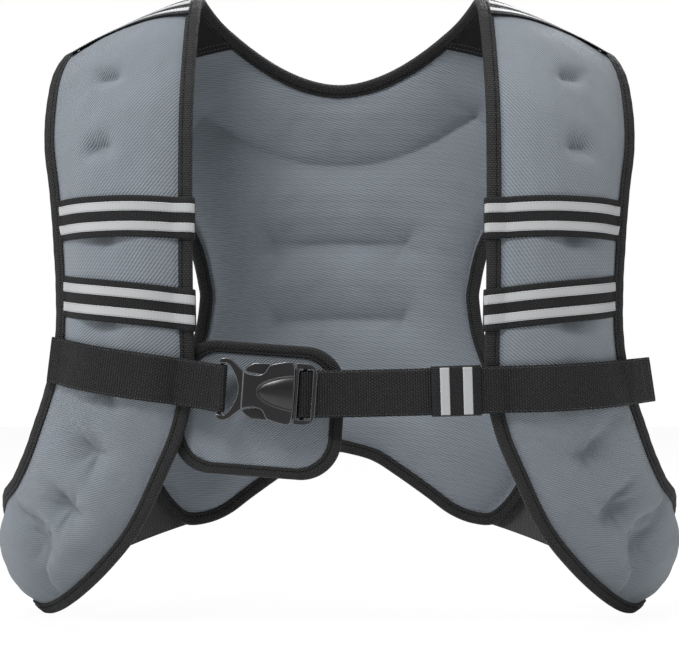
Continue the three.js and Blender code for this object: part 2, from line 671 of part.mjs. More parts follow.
// From the lower end of one front panel, over the shoulders and round the neck, to the other.
function neckBinding(grow = 0) {
  const front = frontEdgeFrames("in", steps(14, 0.985, 0.02));
  const back = backEdgeFrames(steps(6, 0.97, 0).map(neckEdge), -1);
  const half = [...front, ...back];
  const other = half.slice(0, -1).map(mirrorFrame).reverse();
  return sweep(tapeProfile(grow), [...half, ...other]);
}

// From the outer end of a front panel, over the shoulder and down the arm hole to the lobe's corner.
function armBinding(grow = 0) {
  const front = frontEdgeFrames("out", steps(12, 0.96, 0.02));
  const back = backEdgeFrames(steps(10, 0.03, 0.955).map(armEdge), 1);
  return sweep(tapeProfile(grow), [...front, ...back]);
}

function hemBinding(grow = 0) {
  const half = backEdgeFrames(steps(10, 0.99, 0).map(hemEdge), 1);
  const other = half.slice(0, -1).map(mirrorFrame).reverse();
  return sweep(tapeProfile(grow), [...half, ...other]);
}

// All that a band, a strap or a facing lies on, with its clearance
const ARM_TOOL = armBinding(GAP);
const TAPED = [...PANELS, neckBinding(GAP), ARM_TOOL, mirrored(ARM_TOOL), hemBinding(GAP)];

// Black facing inside each shoulder, behind the seam. Its blank reaches into the panel by as much as a
// facet can miss the curve, and the panel is cut out of it.
function shoulderFacing() {
  const margin = LIP + 2 * FLAT;
  const miss = FACING_THICK / 2;
  const face = (lift) =>
    steps(5, 3, FACING_LENGTH).map((w) => {
      const inner = neckReach(w) + margin;
      const outer = armEdge(armAt(w)).x - margin;
      return steps(4).map((s) => backPoint(lerp(inner, outer, s), w, -1, lift));
    });
  return slab(face(GAP + FACING_THICK + miss), face(-2.5 * miss));
}

// How far the neckline is from the middle at a place down the shoulder
const neckReach = (w) => NECK_HALF * (1 - (w / NECK_DIP) ** NECK_SHARP) ** (1 / NECK_SHARP);

// Bands over the front panels

// Height of what lies on a front panel above its middle surface: the filling, or the tape at its edges.
function overPanel(u, v, face = 1) {
  const share = face > 0 ? FRONT_OUT : 1 - FRONT_OUT;
  const filled = share * FRONT_PUFF * frontFill(u, v, false);
  const beyond = Math.min(v, 1 - v) * frontWidth(u);
  const taped = (GAP + TAPE) * (1 - smooth(LIP + FLAT, LIP + 4 * FLAT, beyond));
  return EDGE / 2 + Math.max(filled, taped) + GAP;
}

// Frames of a band's middle line across a front panel, each where the band's under side lies. It starts
// under the tape of the arm hole edge and turns round the other edge to the inner face.
function bandFrames(at) {
  const width = frontWidth(at);
  const start = 1 - (LIP + FLAT) / width;
  const end = FLAT / width;
  const front = steps(7, start, end).map((v) => ({ v, height: overPanel(at, v) + BAND_LIFT, turn: 0 }));
  const half = EDGE / 2 + TAPE + 2 * GAP + BAND_LIFT;
  const rim = 2 * TAPE;
  const turn = [35, 90, 145].map(radians).map((t) => {
    return { v: (-Math.sin(t) * rim) / width, height: Math.cos(t) * half, turn: t };
  });
  const back = [end, (LIP + 4 * FLAT) / width, BAND_RETURN].map((v) => {
    return { v, height: -overPanel(at, v, -1) - BAND_LIFT / 2, turn: Math.PI };
  });
  return [...front, ...turn, ...back].map(({ v, height, turn: t }) => {
    const { o, along, across, n } = frontFrame(at, v);
    const out = n.clone().multiplyScalar(Math.cos(t)).addScaledVector(across, -Math.sin(t));
    return { o: o.addScaledVector(n, height), a: along, n: out };
  });
}

const lifted = (frames, height, sideways = 0) =>
  frames.map(({ o, a, n }) => {
    return { o: o.clone().addScaledVector(n, height).addScaledVector(a, sideways), a, n };
  });

// A band and the two reflective stripes sewn on it, which end where it turns round the edge.
function addBand(name, at) {
  const frames = bandFrames(at);
  const ribbon = (grow) =>
    sweep(flatProfile(BAND_WIDTH, BAND_THICK + 2 * grow), lifted(frames, BAND_THICK / 2));
  addPair(name, ribbon(0), BLACK, TAPED);
  const above = BAND_THICK + GAP + STRIP_THICK / 2;
  const under = [ribbon(GAP), mirrored(ribbon(GAP))];
  for (const [row, sideways] of [["top", -STRIP_OFFSET], ["low", STRIP_OFFSET]]) {
    const strip = sweep(flatProfile(STRIP_WIDTH, STRIP_THICK), lifted(frames.slice(0, -3), above, sideways));
    addPair(name + "_" + row + "_stripe", strip, SILVER, under);
  }
}

// Corners of the side elastic on the inner face of a front panel
const CONNECTOR_ON_FRONT = [
  { u: 0.9, v: 0.16 },
  { u: 0.97, v: 0.86 },
];

// Elastic between each lobe of the back and the lower end of the front panel
function sideConnector() {
  const onLobe = [hemEdge(0.7), armEdge(0.9)].map((p) => {
    const { o, n } = backFrame(p.x, p.w);
    return o.addScaledVector(n, EDGE / 2 + TAPE + 2 * GAP + SIDE_BAND_THICK / 2);
  });
  const onFront = CONNECTOR_ON_FRONT.map(({ u, v }) => frontPoint(u, v, -1, GAP + SIDE_BAND_THICK));
  const pull = vec(SIDE_PULL_X, SIDE_PULL_Y, 0);
  const rows = steps(8).map((t) =>
    steps(3).map((s) => {
      const from = onLobe[0].clone().lerp(onLobe[1], s);
      const to = onFront[0].clone().lerp(onFront[1], s);
      const bend = from.clone().lerp(to, 0.5).add(pull);
      return new THREE.QuadraticBezierCurve3(from, bend, to).getPoint(t);
    }),
  );
  return thickened(rows, SIDE_BAND_THICK);
}

// A sheet of points given a thickness along its normals
function thickened(rows, thick) {
  const at = (i, j) => rows[clamp(i, 0, rows.length - 1)][clamp(j, 0, rows[0].length - 1)];
  const face = (side) =>
    rows.map((row, i) =>
      row.map((p, j) => {
        const along = at(i + 1, j).clone().sub(at(i - 1, j));
        const across = at(i, j + 1).clone().sub(at(i, j - 1));
        const n = vec(0, 0, 0).crossVectors(along, across).normalize();
        return p.clone().addScaledVector(n, (side * thick) / 2);
      }),
    );
  return slab(face(1), face(-1));
}

// Buckle, in its own frame: x along the strap, y up, and z forward

const TURN = radians(BUCKLE_TURN);

// Where a point of the buckle's frame lies.
function onBuckle(x, y, z) {
  return vec(x, -z, y).applyAxisAngle(vec(0, 1, 0), TURN).add(vec(BUCKLE_X, -BUCKLE_FORWARD, BUCKLE_Z));
}

// A flat part of the buckle from half its outline, centred on a plane that lies forward of the middle.
function plate(half, thick, forward = 0) {
  const points = [...half, ...half.map(([x, y]) => [x, -y]).reverse()];
  const corners = points.map(([x, y]) => new THREE.Vector2(x * BUCKLE_LENGTH, y * BUCKLE_WIDTH));
  const geometry = new THREE.ExtrudeGeometry(new THREE.Shape(corners), { depth: thick, bevelEnabled: false });
  return toManifold(geometry.translate(0, 0, forward - thick / 2));
}

// A finished half of the buckle, moved to its place.
function placed(half) {
  const geometry = fromManifold(half).rotateX(Math.PI / 2).rotateY(TURN);
  return geometry.translate(BUCKLE_X, -BUCKLE_FORWARD, BUCKLE_Z);
}

// Half outline of a rectangle across the buckle
const box = (from, to, half) => [
  [from, half],
  [to, half],
];

const SLOT = (WEB_WIDTH / 2 + 1.5) / BUCKLE_WIDTH; // half of a webbing slot, as a share of the width
const BAR_HALF = BAR / BUCKLE_LENGTH / 2;
const MOUTH = 0.285; // where the two halves of the buckle meet
const PRONG_TOP = 0.385; // outer side of the plug's arms
const PRONG_THICK = 4.5;
const HORN_THICK = 9; // the socket is thinner beside its bar
const END_BAR_BACK = 2.5; // forward face of the plug's end bar, which the webbing passes behind

// Half outline of the socket, from its bar to the mouth, as shares of the buckle's size
const SOCKET_HALF = [
  [-0.49, 0.41],
  [-0.4, 0.5],
  [-0.31, 0.4],
  [-0.225, 0.285],
  [-0.1, 0.25],
  [-0.02, 0.29],
  [0.02, 0.42],
  [0.11, 0.465],
  [MOUTH - 0.05, 0.495],
  [MOUTH, 0.27],
];

// Half outline of the crescent that the webbing passes
const CRESCENT_HALF = [
  [FAR_BAR + BAR_HALF, SLOT],
  [-0.405, SLOT],
  [-0.325, 0.26],
  [-0.277, 0.13],
  [-0.262, 0.02],
];

// A bar across a webbing slot
const bar = (at, forward) => plate(box(at - BAR_HALF, at + BAR_HALF, SLOT + 0.02), BAR, forward);

function socket() {
  const tools = [
    plate(CRESCENT_HALF, 2 * BUCKLE_THICK),
    plate(box(-0.6, -0.42, SLOT), 2 * BUCKLE_THICK),
    plate(box(-0.13, 0.5, PRONG_TOP + 0.014), PRONG_THICK + 2 * GAP),
  ];
  for (const side of [-1, 1]) {
    tools.push(plate(box(-0.6, -0.245, 0.6), BUCKLE_THICK, (side * (BUCKLE_THICK + HORN_THICK)) / 2));
  }
  const body = tools.reduce((left, tool) => left.subtract(tool), plate(SOCKET_HALF, BUCKLE_THICK));
  return body.add(bar(FAR_BAR, 0));
}

// Half outlines of the plug's frame and of its two arms with the guide between them
const FRAME_HALF = [
  [MOUTH + 0.006, 0.49],
  [0.47, 0.45],
  [0.51, 0.37],
];
const ARMS_HALF = [
  [MOUTH + 0.03, PRONG_TOP],
  [0.02, PRONG_TOP],
  [-0.02, 0.425],
  [-0.11, 0.33],
  [-0.08, 0.29],
  [MOUTH - 0.02, 0.29],
  [MOUTH - 0.02, 0.07],
  [0.02, 0.05],
];

function plug() {
  const tools = [
    plate(box(MOUTH + 0.035, 0.462, SLOT), 2 * BUCKLE_THICK),
    plate(box(0.44, 0.6, SLOT - 0.01), BUCKLE_THICK, END_BAR_BACK - BUCKLE_THICK / 2),
  ];
  const frame = tools.reduce((left, tool) => left.subtract(tool), plate(FRAME_HALF, HORN_THICK - 1));
  return frame.add(bar(NEAR_BAR, -BAR_BACK)).add(plate(ARMS_HALF, PRONG_THICK));
}

// Chest strap

// The bar that each half of the strap turns round, in that half's own coordinates, with x outwards.
function strapBar(side) {
  const [along, forward] = side < 0 ? [FAR_BAR, 0] : [NEAR_BAR, -BAR_BACK];
  const p = onBuckle(along * BUCKLE_LENGTH, 0, forward);
  return vec(side * p.x, p.y, p.z);
}

// Level of the strap's middle line at a distance from the middle, on each side.
function strapLevel(side, x) {
  const bar = strapBar(side);
  const share = Math.max(0, (x - bar.x) / (SEAM_HALF - bar.x));
  return side < 0 ? bar.z + STRAP_RISE_LEFT * share : bar.z + STRAP_RISE_RIGHT * share ** 1.5;
}

// A point over the panel's face at strap level, and the directions there.
function strapOverPanel(v, side, height) {
  const above = (u) => frontMiddle(u, v).z > strapLevel(side, frontMiddle(u, v).x);
  const u = turningPlace(STRAP_AT - 0.1, STRAP_AT + 0.2, above);
  const { o, along, n } = frontFrame(u, v);
  return { o: o.addScaledVector(n, overPanel(u, v) + STRAP_LIFT + height), a: along.negate() };
}

const FOLD_REACH = BAR * BAR_CORNER + GAP + WEB_THICK / 2; // bar to the middle of the webbing round it

// Frames of one layer of the strap, from the buckle outwards. layer is 0 on the panel and 1 on top of
// the other layer, and end is how far over the panel it runs.
function strapFrames(side, layer, end) {
  const height = WEB_THICK / 2 + layer * (WEB_THICK + GAP);
  const over = steps(8, 0.02, end).map((v) => strapOverPanel(v, side, height));
  const bar = strapBar(side);
  const beside = bar.clone().add(vec(0, layer ? -FOLD_REACH : FOLD_REACH, 0));
  const start = bar.clone().add(vec(0, 1 - layer * (WEB_THICK + GAP), 0));
  const lean = vec(side * Math.sin(TURN), 0, Math.cos(TURN));
  const free = [0.28, 0.6].map((t) => {
    const o = start.clone().lerp(over[0].o, t);
    o.z = strapLevel(side, o.x);
    return { o, a: lean.clone().lerp(over[0].a, t) };
  });
  return [{ o: beside, a: lean }, ...free, ...over];
}

// Frames turned so that their a lies square to the path.
function squared(frames) {
  return frames.map(({ o, a }, i) => {
    const before = frames[Math.max(0, i - 1)].o;
    const after = frames[Math.min(frames.length - 1, i + 1)].o;
    const path = after.clone().sub(before).normalize();
    const across = a.clone().addScaledVector(path, -a.dot(path)).normalize();
    return { o, a: across, n: vec(0, 0, 0).crossVectors(path, across).normalize() };
  });
}

// Webbing that comes from one layer, turns round a bar of the buckle and goes back as the other. It is
// made for its side's own coordinates.
function chestStrap(side, underEnd, overEnd, tail) {
  const under = strapFrames(side, 0, underEnd).reverse();
  const over = strapFrames(side, 1, overEnd);
  const bar = strapBar(side);
  const turn = [-50, 0, 50].map(radians).map((t) => {
    const o = bar.clone().add(vec(-FOLD_REACH * Math.cos(t), -FOLD_REACH * Math.sin(t), 0));
    return { o, a: over[0].a };
  });
  const frames = [...under, ...turn, ...over];
  if (tail > 0) {
    const last = over.at(-1);
    const onward = last.o.clone().sub(over.at(-2).o).normalize();
    for (const share of [0.5, 1]) {
      frames.push({ o: last.o.clone().addScaledVector(onward, tail * share), a: last.a });
    }
  }
  return sweep(flatProfile(WEB_WIDTH, WEB_THICK), squared(frames));
}

// Keeper: an elastic ring round both layers of the strap, with two stripes

// Frame of the keeper's inner end: the strap is straight between the last free frame and the panel.
function keeperFrame() {
  const layers = [0, 1].map((layer) => strapFrames(1, layer, 1));
  const between = (i) => layers[0][i].o.clone().lerp(layers[1][i].o, 0.5);
  const [from, to] = [between(2), between(3)];
  const path = to.clone().sub(from).normalize();
  const o = from.clone().lerp(to, (KEEPER_X - from.x) / (to.x - from.x));
  const lean = layers[0][2].a;
  const a = lean.clone().addScaledVector(path, -lean.dot(path)).normalize();
  return { o, path, a, n: vec(0, 0, 0).crossVectors(path, a) };
}

const KEEPER_ROOM = WEB_THICK + 1.5 * GAP; // half the room for both layers
const KEEPER_SPAN = WEB_WIDTH / 2 + GAP;

// A bar of the keeper's frame: a rectangle across the strap, carried along it. low and high are forward
// of the strap's middle.
function onKeeper(span, low, high, from, length) {
  const { o, path, a, n } = keeperFrame();
  const middle = o.clone().addScaledVector(n, (low + high) / 2);
  const ends = [from, from + length].map((s) => ({ o: middle.clone().addScaledVector(path, s), a, n }));
  return sweep(flatProfile(2 * span, high - low), ends);
}

function keeper() {
  const outer = KEEPER_ROOM + BAND_THICK;
  const blank = onKeeper(KEEPER_SPAN + BAND_THICK, -outer, outer, 0, KEEPER_WIDTH);
  const layers = [0, 1].map((layer) =>
    sweep(flatProfile(2 * KEEPER_SPAN, WEB_THICK + 2 * GAP), squared(strapFrames(1, layer, 0.3))),
  );
  return cut(blank, layers);
}

function keeperStripe(from) {
  const low = KEEPER_ROOM + BAND_THICK + GAP;
  return onKeeper(KEEPER_SPAN, low, low + STRIP_THICK, from, STRIP_WIDTH);
}

// Buckle guard: a pad behind the buckle, held at the left panel's edge

function guardDepth(x) {
  const edge = frontEdge(STRAP_AT, "in");
  const atPanel = edge.y + 2 * (EDGE / 2 + GAP + TAPE) + GAP;
  const atBuckle = BUCKLE_THICK / 2 - BUCKLE_FORWARD + GUARD_ROOM;
  const share = smooth(-edge.x, -edge.x + GUARD_WIDTH / 2, x);
  return atPanel + (atBuckle - atPanel) * share + GUARD_BEND * Math.max(0, -edge.x - x);
}

// Points of the guard's outline, scaled about its middle.
function guardOutline(scale) {
  const half = { x: GUARD_WIDTH / 2 - GUARD_CORNER, y: GUARD_HEIGHT / 2 - GUARD_CORNER };
  const middle = onBuckle(GUARD_LEFT, -GUARD_BELOW, 0);
  const points = [];
  for (const [quarter, sx, sy] of [[0, 1, 1], [1, -1, 1], [2, -1, -1], [3, 1, -1]]) {
    for (const s of steps(4)) {
      const t = ((quarter + s) * Math.PI) / 2;
      const x = (sx * half.x + GUARD_CORNER * Math.cos(t)) * scale;
      const y = (sy * half.y + GUARD_CORNER * Math.sin(t)) * scale;
      const p = vec(x, 0, y).applyAxisAngle(vec(0, 1, 0), TURN).add(middle);
      p.y = guardDepth(p.x);
      points.push(p);
    }
  }
  return points;
}

// The guard's pad, or the pad grown all round by grow.
function guardPad(grow = 0) {
  const rim = 1 + (4 * grow) / GUARD_HEIGHT;
  const rings = [
    { scale: rim, fill: 0 },
    { scale: 1 - (2 * LIP + 3 * FLAT) / GUARD_HEIGHT, fill: 0 },
    ...GUARD_RINGS,
  ];
  const points = [];
  for (const side of [-1, 1]) {
    for (const { scale, fill } of rings) {
      for (const p of guardOutline(scale)) {
        points.push(p.add(vec(0, side * (EDGE / 2 + fill * GUARD_PUFF + grow), 0)));
      }
    }
  }
  const count = points.length / (2 * rings.length);
  const triangles = [];
  const id = (face, ring, k) => (face * rings.length + ring) * count + (k % count);
  for (let k = 0; k < count; k++) {
    for (const face of [0, 1]) {
      for (let ring = 0; ring + 1 < rings.length; ring++) {
        const [a, b] = [id(face, ring, k), id(face, ring, k + 1)];
        const [c, d] = [id(face, ring + 1, k + 1), id(face, ring + 1, k)];
        triangles.push(...(face ? [[a, c, b], [a, d, c]] : [[a, b, c], [a, c, d]]));
      }
      const last = rings.length - 1;
      if (k > 0 && k + 1 < count) {
        const [a, b, c] = [id(face, last, 0), id(face, last, k), id(face, last, k + 1)];
        triangles.push(face ? [a, c, b] : [a, b, c]);
      }
    }
    triangles.push([id(0, 0, k), id(1, 0, k), id(1, 0, k + 1)]);
    triangles.push([id(0, 0, k), id(1, 0, k + 1), id(0, 0, k + 1)]);
  }
  return solid(points, triangles);
}

function guardBinding() {
  const points = guardOutline(1);
  const middle = points.reduce((sum, p) => sum.add(p), vec(0, 0, 0)).divideScalar(points.length);
  const frames = points.map((o, i) => {
    const before = points[(i + points.length - 1) % points.length];
    const after = points[(i + 1) % points.length];
    const along = after.clone().sub(before).normalize();
    const a = vec(0, 0, 0).crossVectors(along, vec(0, -1, 0)).normalize();
    if (a.dot(middle.clone().sub(o)) < 0) a.negate();
    return { o, a, n: vec(0, 0, 0).crossVectors(along, a).normalize() };
  });
  return sweep(tapeProfile(0), frames, true);
}

add("back_panel", backPanel(), GREY);
addPair("front_panel", frontPanel(), GREY);
add("neck_binding", cut(neckBinding(), PANELS), BLACK);
addPair("arm_binding", armBinding(), BLACK, PANELS);
add("hem_binding", cut(hemBinding(), PANELS), BLACK);
addPair("shoulder_facing", shoulderFacing(), BLACK, TAPED);
for (const { name, at } of [...BANDS, SHOULDER_BAND]) addBand(name, at);
addPair("side_connector", sideConnector(), BLACK, TAPED);
add("chest_strap_right", cut(chestStrap(1, 0.99, 0.86, TAIL), TAPED), BLACK);
add("chest_strap_left", cut(mirrored(chestStrap(-1, 0.6, 0.99, 0)), TAPED), BLACK);
add("buckle_socket", placed(socket()), PLASTIC);
add("buckle_plug", placed(plug()), PLASTIC);
add("strap_keeper", keeper(), BLACK);
add("keeper_stripe_inner", keeperStripe(KEEPER_STRIPES[0]), SILVER);
add("keeper_stripe_outer", keeperStripe(KEEPER_STRIPES[1]), SILVER);
add("buckle_guard", cut(guardPad(), TAPED), GREY);
add("guard_binding", cut(guardBinding(), [guardPad(GAP), ...TAPED]), BLACK);

export default group;
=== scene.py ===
# %% [markdown]
# A weighted training vest, shown as it stands when it is worn. The frame comes from the CAD model. Each
# piece of cloth, tape, webbing and plastic is made again here at full detail on the same surfaces, so it
# lies exactly where the CAD says. Everything is worked out in millimetres and made in metres.

# %% Load the frame
import math
import bpy
import bmesh
import mathutils
import numpy as np
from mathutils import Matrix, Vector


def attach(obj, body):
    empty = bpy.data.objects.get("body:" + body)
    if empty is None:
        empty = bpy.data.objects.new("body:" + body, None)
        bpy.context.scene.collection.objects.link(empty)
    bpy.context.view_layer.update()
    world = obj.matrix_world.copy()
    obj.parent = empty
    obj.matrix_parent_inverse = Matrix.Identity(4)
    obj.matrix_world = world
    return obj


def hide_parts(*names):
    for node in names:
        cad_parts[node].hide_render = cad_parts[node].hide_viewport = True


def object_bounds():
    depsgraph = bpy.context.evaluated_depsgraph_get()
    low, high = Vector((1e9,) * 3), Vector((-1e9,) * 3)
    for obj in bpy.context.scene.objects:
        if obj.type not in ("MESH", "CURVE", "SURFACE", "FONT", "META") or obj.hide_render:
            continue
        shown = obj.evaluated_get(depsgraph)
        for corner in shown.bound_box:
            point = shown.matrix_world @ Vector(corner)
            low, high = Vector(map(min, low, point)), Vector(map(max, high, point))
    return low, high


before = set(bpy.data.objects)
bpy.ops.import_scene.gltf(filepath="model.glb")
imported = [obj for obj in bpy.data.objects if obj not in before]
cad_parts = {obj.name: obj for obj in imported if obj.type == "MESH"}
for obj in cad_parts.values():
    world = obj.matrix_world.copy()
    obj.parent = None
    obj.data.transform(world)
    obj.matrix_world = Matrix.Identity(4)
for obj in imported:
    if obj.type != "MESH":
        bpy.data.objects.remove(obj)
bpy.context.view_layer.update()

print("CAD nodes:", len(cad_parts))

# %% [markdown]
# The driving sizes of the worn vest. A real one is sewn flat, and its form comes from the wearer: the
# shoulder seam slopes, the back hangs from it in a quarter turn, and the front panels curve out over the
# ribs. The same names and values are in the CAD source.

# %% Driving sizes
MM = 0.001
NECK_HALF = 118  # middle to the neck end of the shoulder seam
SHOULDER_WIDTH = 117
SHOULDER_FALL = 50  # how much lower the seam's outer end is
SEAM_RISE = 14
HALF_SPAN = 291  # middle to the widest point of a front panel
FRONT_REACH = 114  # how far the front panels curve forward
FRONT_DROP = 529  # shoulder seam to the lower end of a front panel
BACK_REACH = 112
ARCH_DROP = 110  # the quarter turn from the shoulder to the hanging back
ARCH_SHARE = 0.95
SIDE_CURVE = 0.59  # share of BACK_REACH lost at the sides
RIDGE_SOFT = 30  # the shoulder's slope starts softly below the seam
RIDGE_FROM = 60
LUMBAR = 8  # how far the back leans in towards the waist
NECK_DIP = 116  # depth of the neckline, measured on the cloth
NECK_SHARP = 1.8
WAIST_HALF = 126.5
BACK_LENGTH = 452
LOBE_HALF = 186
LOBE_DROP = 58  # how much lower the back's lobes are than the hem's middle

EDGE = 5  # thickness of the two skins, sewn together
FRONT_PUFF = 22  # thickest filling of a front panel
FRONT_OUT = 0.66  # share of the filling on the outer face
FRONT_CAMBER = 9  # how far the panel's middle bows out between its edges
CAMBER_FROM = 0.2
PUFF_SHARP = 2.3  # how steeply the filling rises from the tape
END_FROM = 0.93  # where the panel's last stretch begins
END_FALL = 24  # length over which the filling ends there
TACK_SHARP = 1.5
BACK_PUFF = 21
BACK_IN = 1.5  # the loose inner face stands out this much more than the outer one
LIP = 10  # visible width of the binding tape
FLAT = 1  # unfilled cloth beside the tape
TAPE = 1.5
GAP = 0.35  # clearance between pieces that lie on each other

BAND_WIDTH = 34
BAND_THICK = 1
STRIP_WIDTH = 7.5
STRIP_THICK = 0.5
STRIP_OFFSET = 8  # a stripe's middle from the band's middle
BAND_RETURN = 0.2  # share of the panel's width that a band covers behind
WEB_WIDTH = 38
WEB_THICK = 1.6
TAIL = 62  # free end of the strap past the panel
BAND_LIFT = 0.5
RIBBON_EDGE = 0.62  # share of a ribbon's thickness at its edges
SIDE_BAND_THICK = 1.6
SIDE_PULL = (22, 22, 0)  # how far the side elastic is drawn out round the wearer's side
FACING_THICK = 1.2
FACING_LENGTH = 74

BUCKLE_LENGTH = 80
BUCKLE_WIDTH = 51
BUCKLE_THICK = 13
BUCKLE_PLACE = (-59, -127, -321)
BUCKLE_TURN = math.radians(4)
BAR = 3.2  # thickness of the bars that the webbing turns round
BAR_CORNER = 0.85
FAR_BAR = -0.455  # places of the bars, as shares of BUCKLE_LENGTH from its middle
NEAR_BAR = 0.376
BAR_BACK = 2.2
STRAP_RISE = {-1: 22, 1: 8}  # the strap's rise from the buckle outwards, on the left and the right
STRAP_LIFT = 0.5
KEEPER_X = 74
KEEPER_WIDTH = 40
KEEPER_STRIPES = (7, 25.5)  # where each stripe starts, from the keeper's inner edge
GUARD_WIDTH = 136
GUARD_HEIGHT = 106
GUARD_CORNER = 32
GUARD_PUFF = 3
GUARD_LEFT = -6  # the guard's middle from the buckle's
GUARD_BELOW = 16
GUARD_FORWARD = 6  # how far the guard comes forward towards the buckle
GUARD_BEND = 0.39

# Edges of a front panel, one row at a time from behind the shoulder seam to past the lower end: shares
# of the way out to HALF_SPAN, of FRONT_REACH and of FRONT_DROP, and the share of the filling.
FRONT_COLUMNS = ("in_x", "in_y", "in_z", "out_x", "out_y", "out_z", "puff")
FRONT_ROWS = [
    (0.0, -0.15, 0.006, 0.05, -0.12, 0.008, 0.1),
    (0.0, 0.0, 0.0, 0.0, 0.0, 0.0, 0.1),
    (0.006, 0.15, 0.007, 0.05, 0.12, 0.009, 0.12),
    (0.012, 0.32, 0.034, 0.14, 0.25, 0.038, 0.35),
    (0.017, 0.53, 0.093, 0.19, 0.39, 0.087, 0.8),
    (0.022, 0.77, 0.195, 0.19, 0.49, 0.155, 1.0),
    (0.019, 0.91, 0.332, 0.07, 0.58, 0.246, 1.0),
    (0.012, 0.98, 0.498, -0.02, 0.61, 0.382, 1.0),
    (0.006, 1.0, 0.616, 0.0, 0.61, 0.471, 1.0),
    (0.052, 0.98, 0.696, 0.14, 0.57, 0.533, 1.0),
    (0.139, 0.93, 0.764, 0.32, 0.49, 0.586, 1.05),
    (0.272, 0.79, 0.851, 0.54, 0.37, 0.643, 1.1),
    (0.436, 0.6, 0.918, 0.75, 0.23, 0.684, 1.15),
    (0.616, 0.33, 0.973, 0.95, 0.04, 0.709, 1.15),
    (0.751, 0.07, 1.0, 1.02, -0.16, 0.733, 0.8),
    (0.838, -0.14, 0.996, 0.97, -0.35, 0.752, 0.5),
    (0.89, -0.35, 0.987, 0.88, -0.54, 0.767, 0.45),
]

# Tacks through the filling: place along and across the panel, share of the filling pressed out, radius,
# half the length of the tack's stitches, and height of the folds that run into it.
TACK_COLUMNS = ("at", "across", "deep", "wide", "half", "fold")
TACKS = [
    (0.236, 0.5, 0.62, 7, 4, 0.4),
    (0.313, 0.54, 0.72, 8, 4, 0.45),
    (0.385, 0.52, 0.6, 12, 3, 0.3),
    (0.449, 0.52, 0.6, 12, 3, 0.3),
    (0.535, 0.5, 0.7, 13, 3, 0.6),
    (0.643, 0.46, 1.0, 16, 3, 1.1),
    (0.732, 0.46, 1.05, 17, 3, 1.3),
    (0.804, 0.47, 1.0, 15, 3, 1.0),
]

# Fold where the panel turns from the wearer's front to the side, from the arm hole's edge down to the
# front edge: places along and across the panel.
TURN_FOLD = [
    (0.826, 0.97),
    (0.804, 0.77),
    (0.787, 0.62),
    (0.784, 0.53),
    (0.795, 0.45),
    (0.82, 0.37),
    (0.84, 0.3),
    (0.856, 0.2),
    (0.868, 0.06),
]
FOLD_DEEP = 0.62  # share of the filling pressed out at the bottom of the fold
FOLD_ROUND = 11  # how far its gentle lower side reaches
FOLD_STEEP = 4.5  # how far its steep upper side reaches

# Arm hole edge of the back pattern above and below the waist, and the hem
ARM_COLUMNS = ("x", "w")
ARM_HOLE_ABOVE = [
    (1.0, 0.0),
    (0.98, 0.15),
    (0.85, 0.32),
    (0.61, 0.5),
    (0.33, 0.68),
    (0.1, 0.84),
    (0.0, 1.0),
]
ARM_HOLE_BELOW = [
    (0.0, 0.0),
    (0.08, 0.27),
    (0.34, 0.57),
    (0.7, 0.81),
    (1.0, 1.0),
]
WAIST_AT = 0.665  # the narrowest place and the lobe's corner, as shares of BACK_LENGTH
CORNER_AT = 0.94
ARM_SPLIT = 0.64  # share of the arm hole's points that lie above the waist
HEM_COLUMNS = ("x", "drop")
HEM = [
    (0.0, 0.0),
    (0.16, 0.13),
    (0.29, 0.38),
    (0.43, 0.68),
    (0.55, 0.93),
    (0.66, 1.0),
    (0.77, 0.88),
    (0.88, 0.4),
    (1.0, -0.468),
]
# Sewn channels: half the length as a share of WAIST_HALF, place down the back and sag as shares of
# BACK_LENGTH
CHANNELS = [
    (1.0, 0.418, 0.113),
    (0.487, 0.58, 0),
    (0.467, 0.733, 0),
    (0.46, 0.885, 0),
]
SMILE_SHARP = 2.2  # how sharply the ends of the top channel turn up
CHANNEL_DEEP = 0.92  # share of the filling pressed out along a channel
CHANNEL_FALL = 17  # how far from a channel the filling comes back
EDGE_FALL = 13  # how far from the tape it does
SHOULDER_FILL = 0.1  # share of the filling at the shoulder seam
FILL_FROM = 0.7  # where it grows to the whole, as shares of FACING_LENGTH
FILL_TO = 1.8
ROW_FAN = 1.3  # how much the mesh rows of the back fan out towards the arm hole

# Unevenness that filling and sewing leave, as heights and wavelengths
FRONT_LUMP = 0.55
FRONT_LUMP_WAVE = 62
FRONT_GRAIN = 0.22
FRONT_GRAIN_WAVE = 24
BACK_LUMP = 0.5
BACK_LUMP_WAVE = 75
BACK_GRAIN = 0.18
BACK_GRAIN_WAVE = 26
PUCKER = 0.32  # beside a channel's stitches
END_PUCKER = 0.5  # round a channel's end
RIPPLE = 0.16  # beside the front panel's tape
BENT_RIPPLE = 0.34  # added where the panel bends
BACK_RIPPLE = 0.14

# Fineness of the padded meshes: rows along and columns across
FRONT_ROWS_MADE = 420
FRONT_COLUMNS_MADE = 84
NECK_ROWS_MADE = 72
MIDDLE_ROWS_MADE = 84
LOBE_ROWS_MADE = 78
BACK_COLUMNS_MADE = 96

# Places of the bands along the front panel
BANDS = {"upper_band": 0.3735, "lower_band": 0.4345, "shoulder_band": 0.108}
SHOULDER_SLANT = 0.068  # how far the shoulder band's arm hole end lies nearer the seam
NUDGE = 0.004  # steps that directions on the front panel are measured over
NUDGE_ACROSS = 0.02
FLAT_LENGTH = 1.15 * FRONT_DROP  # length of the front panel laid flat
SEAM_HALF = NECK_HALF + SHOULDER_WIDTH
ARCH_LENGTH = ((ARCH_DROP + BACK_REACH) / 2) * (math.pi / 2) * ARCH_SHARE
print("rows of the front panel:", len(FRONT_ROWS), "tacks:", len(TACKS))

# %% [markdown]
# Small tools for arrays of points. Every surface is a function of arrays, so that a panel of thousands of
# points takes no longer to work out than a strip.

# %% Tools for arrays of points


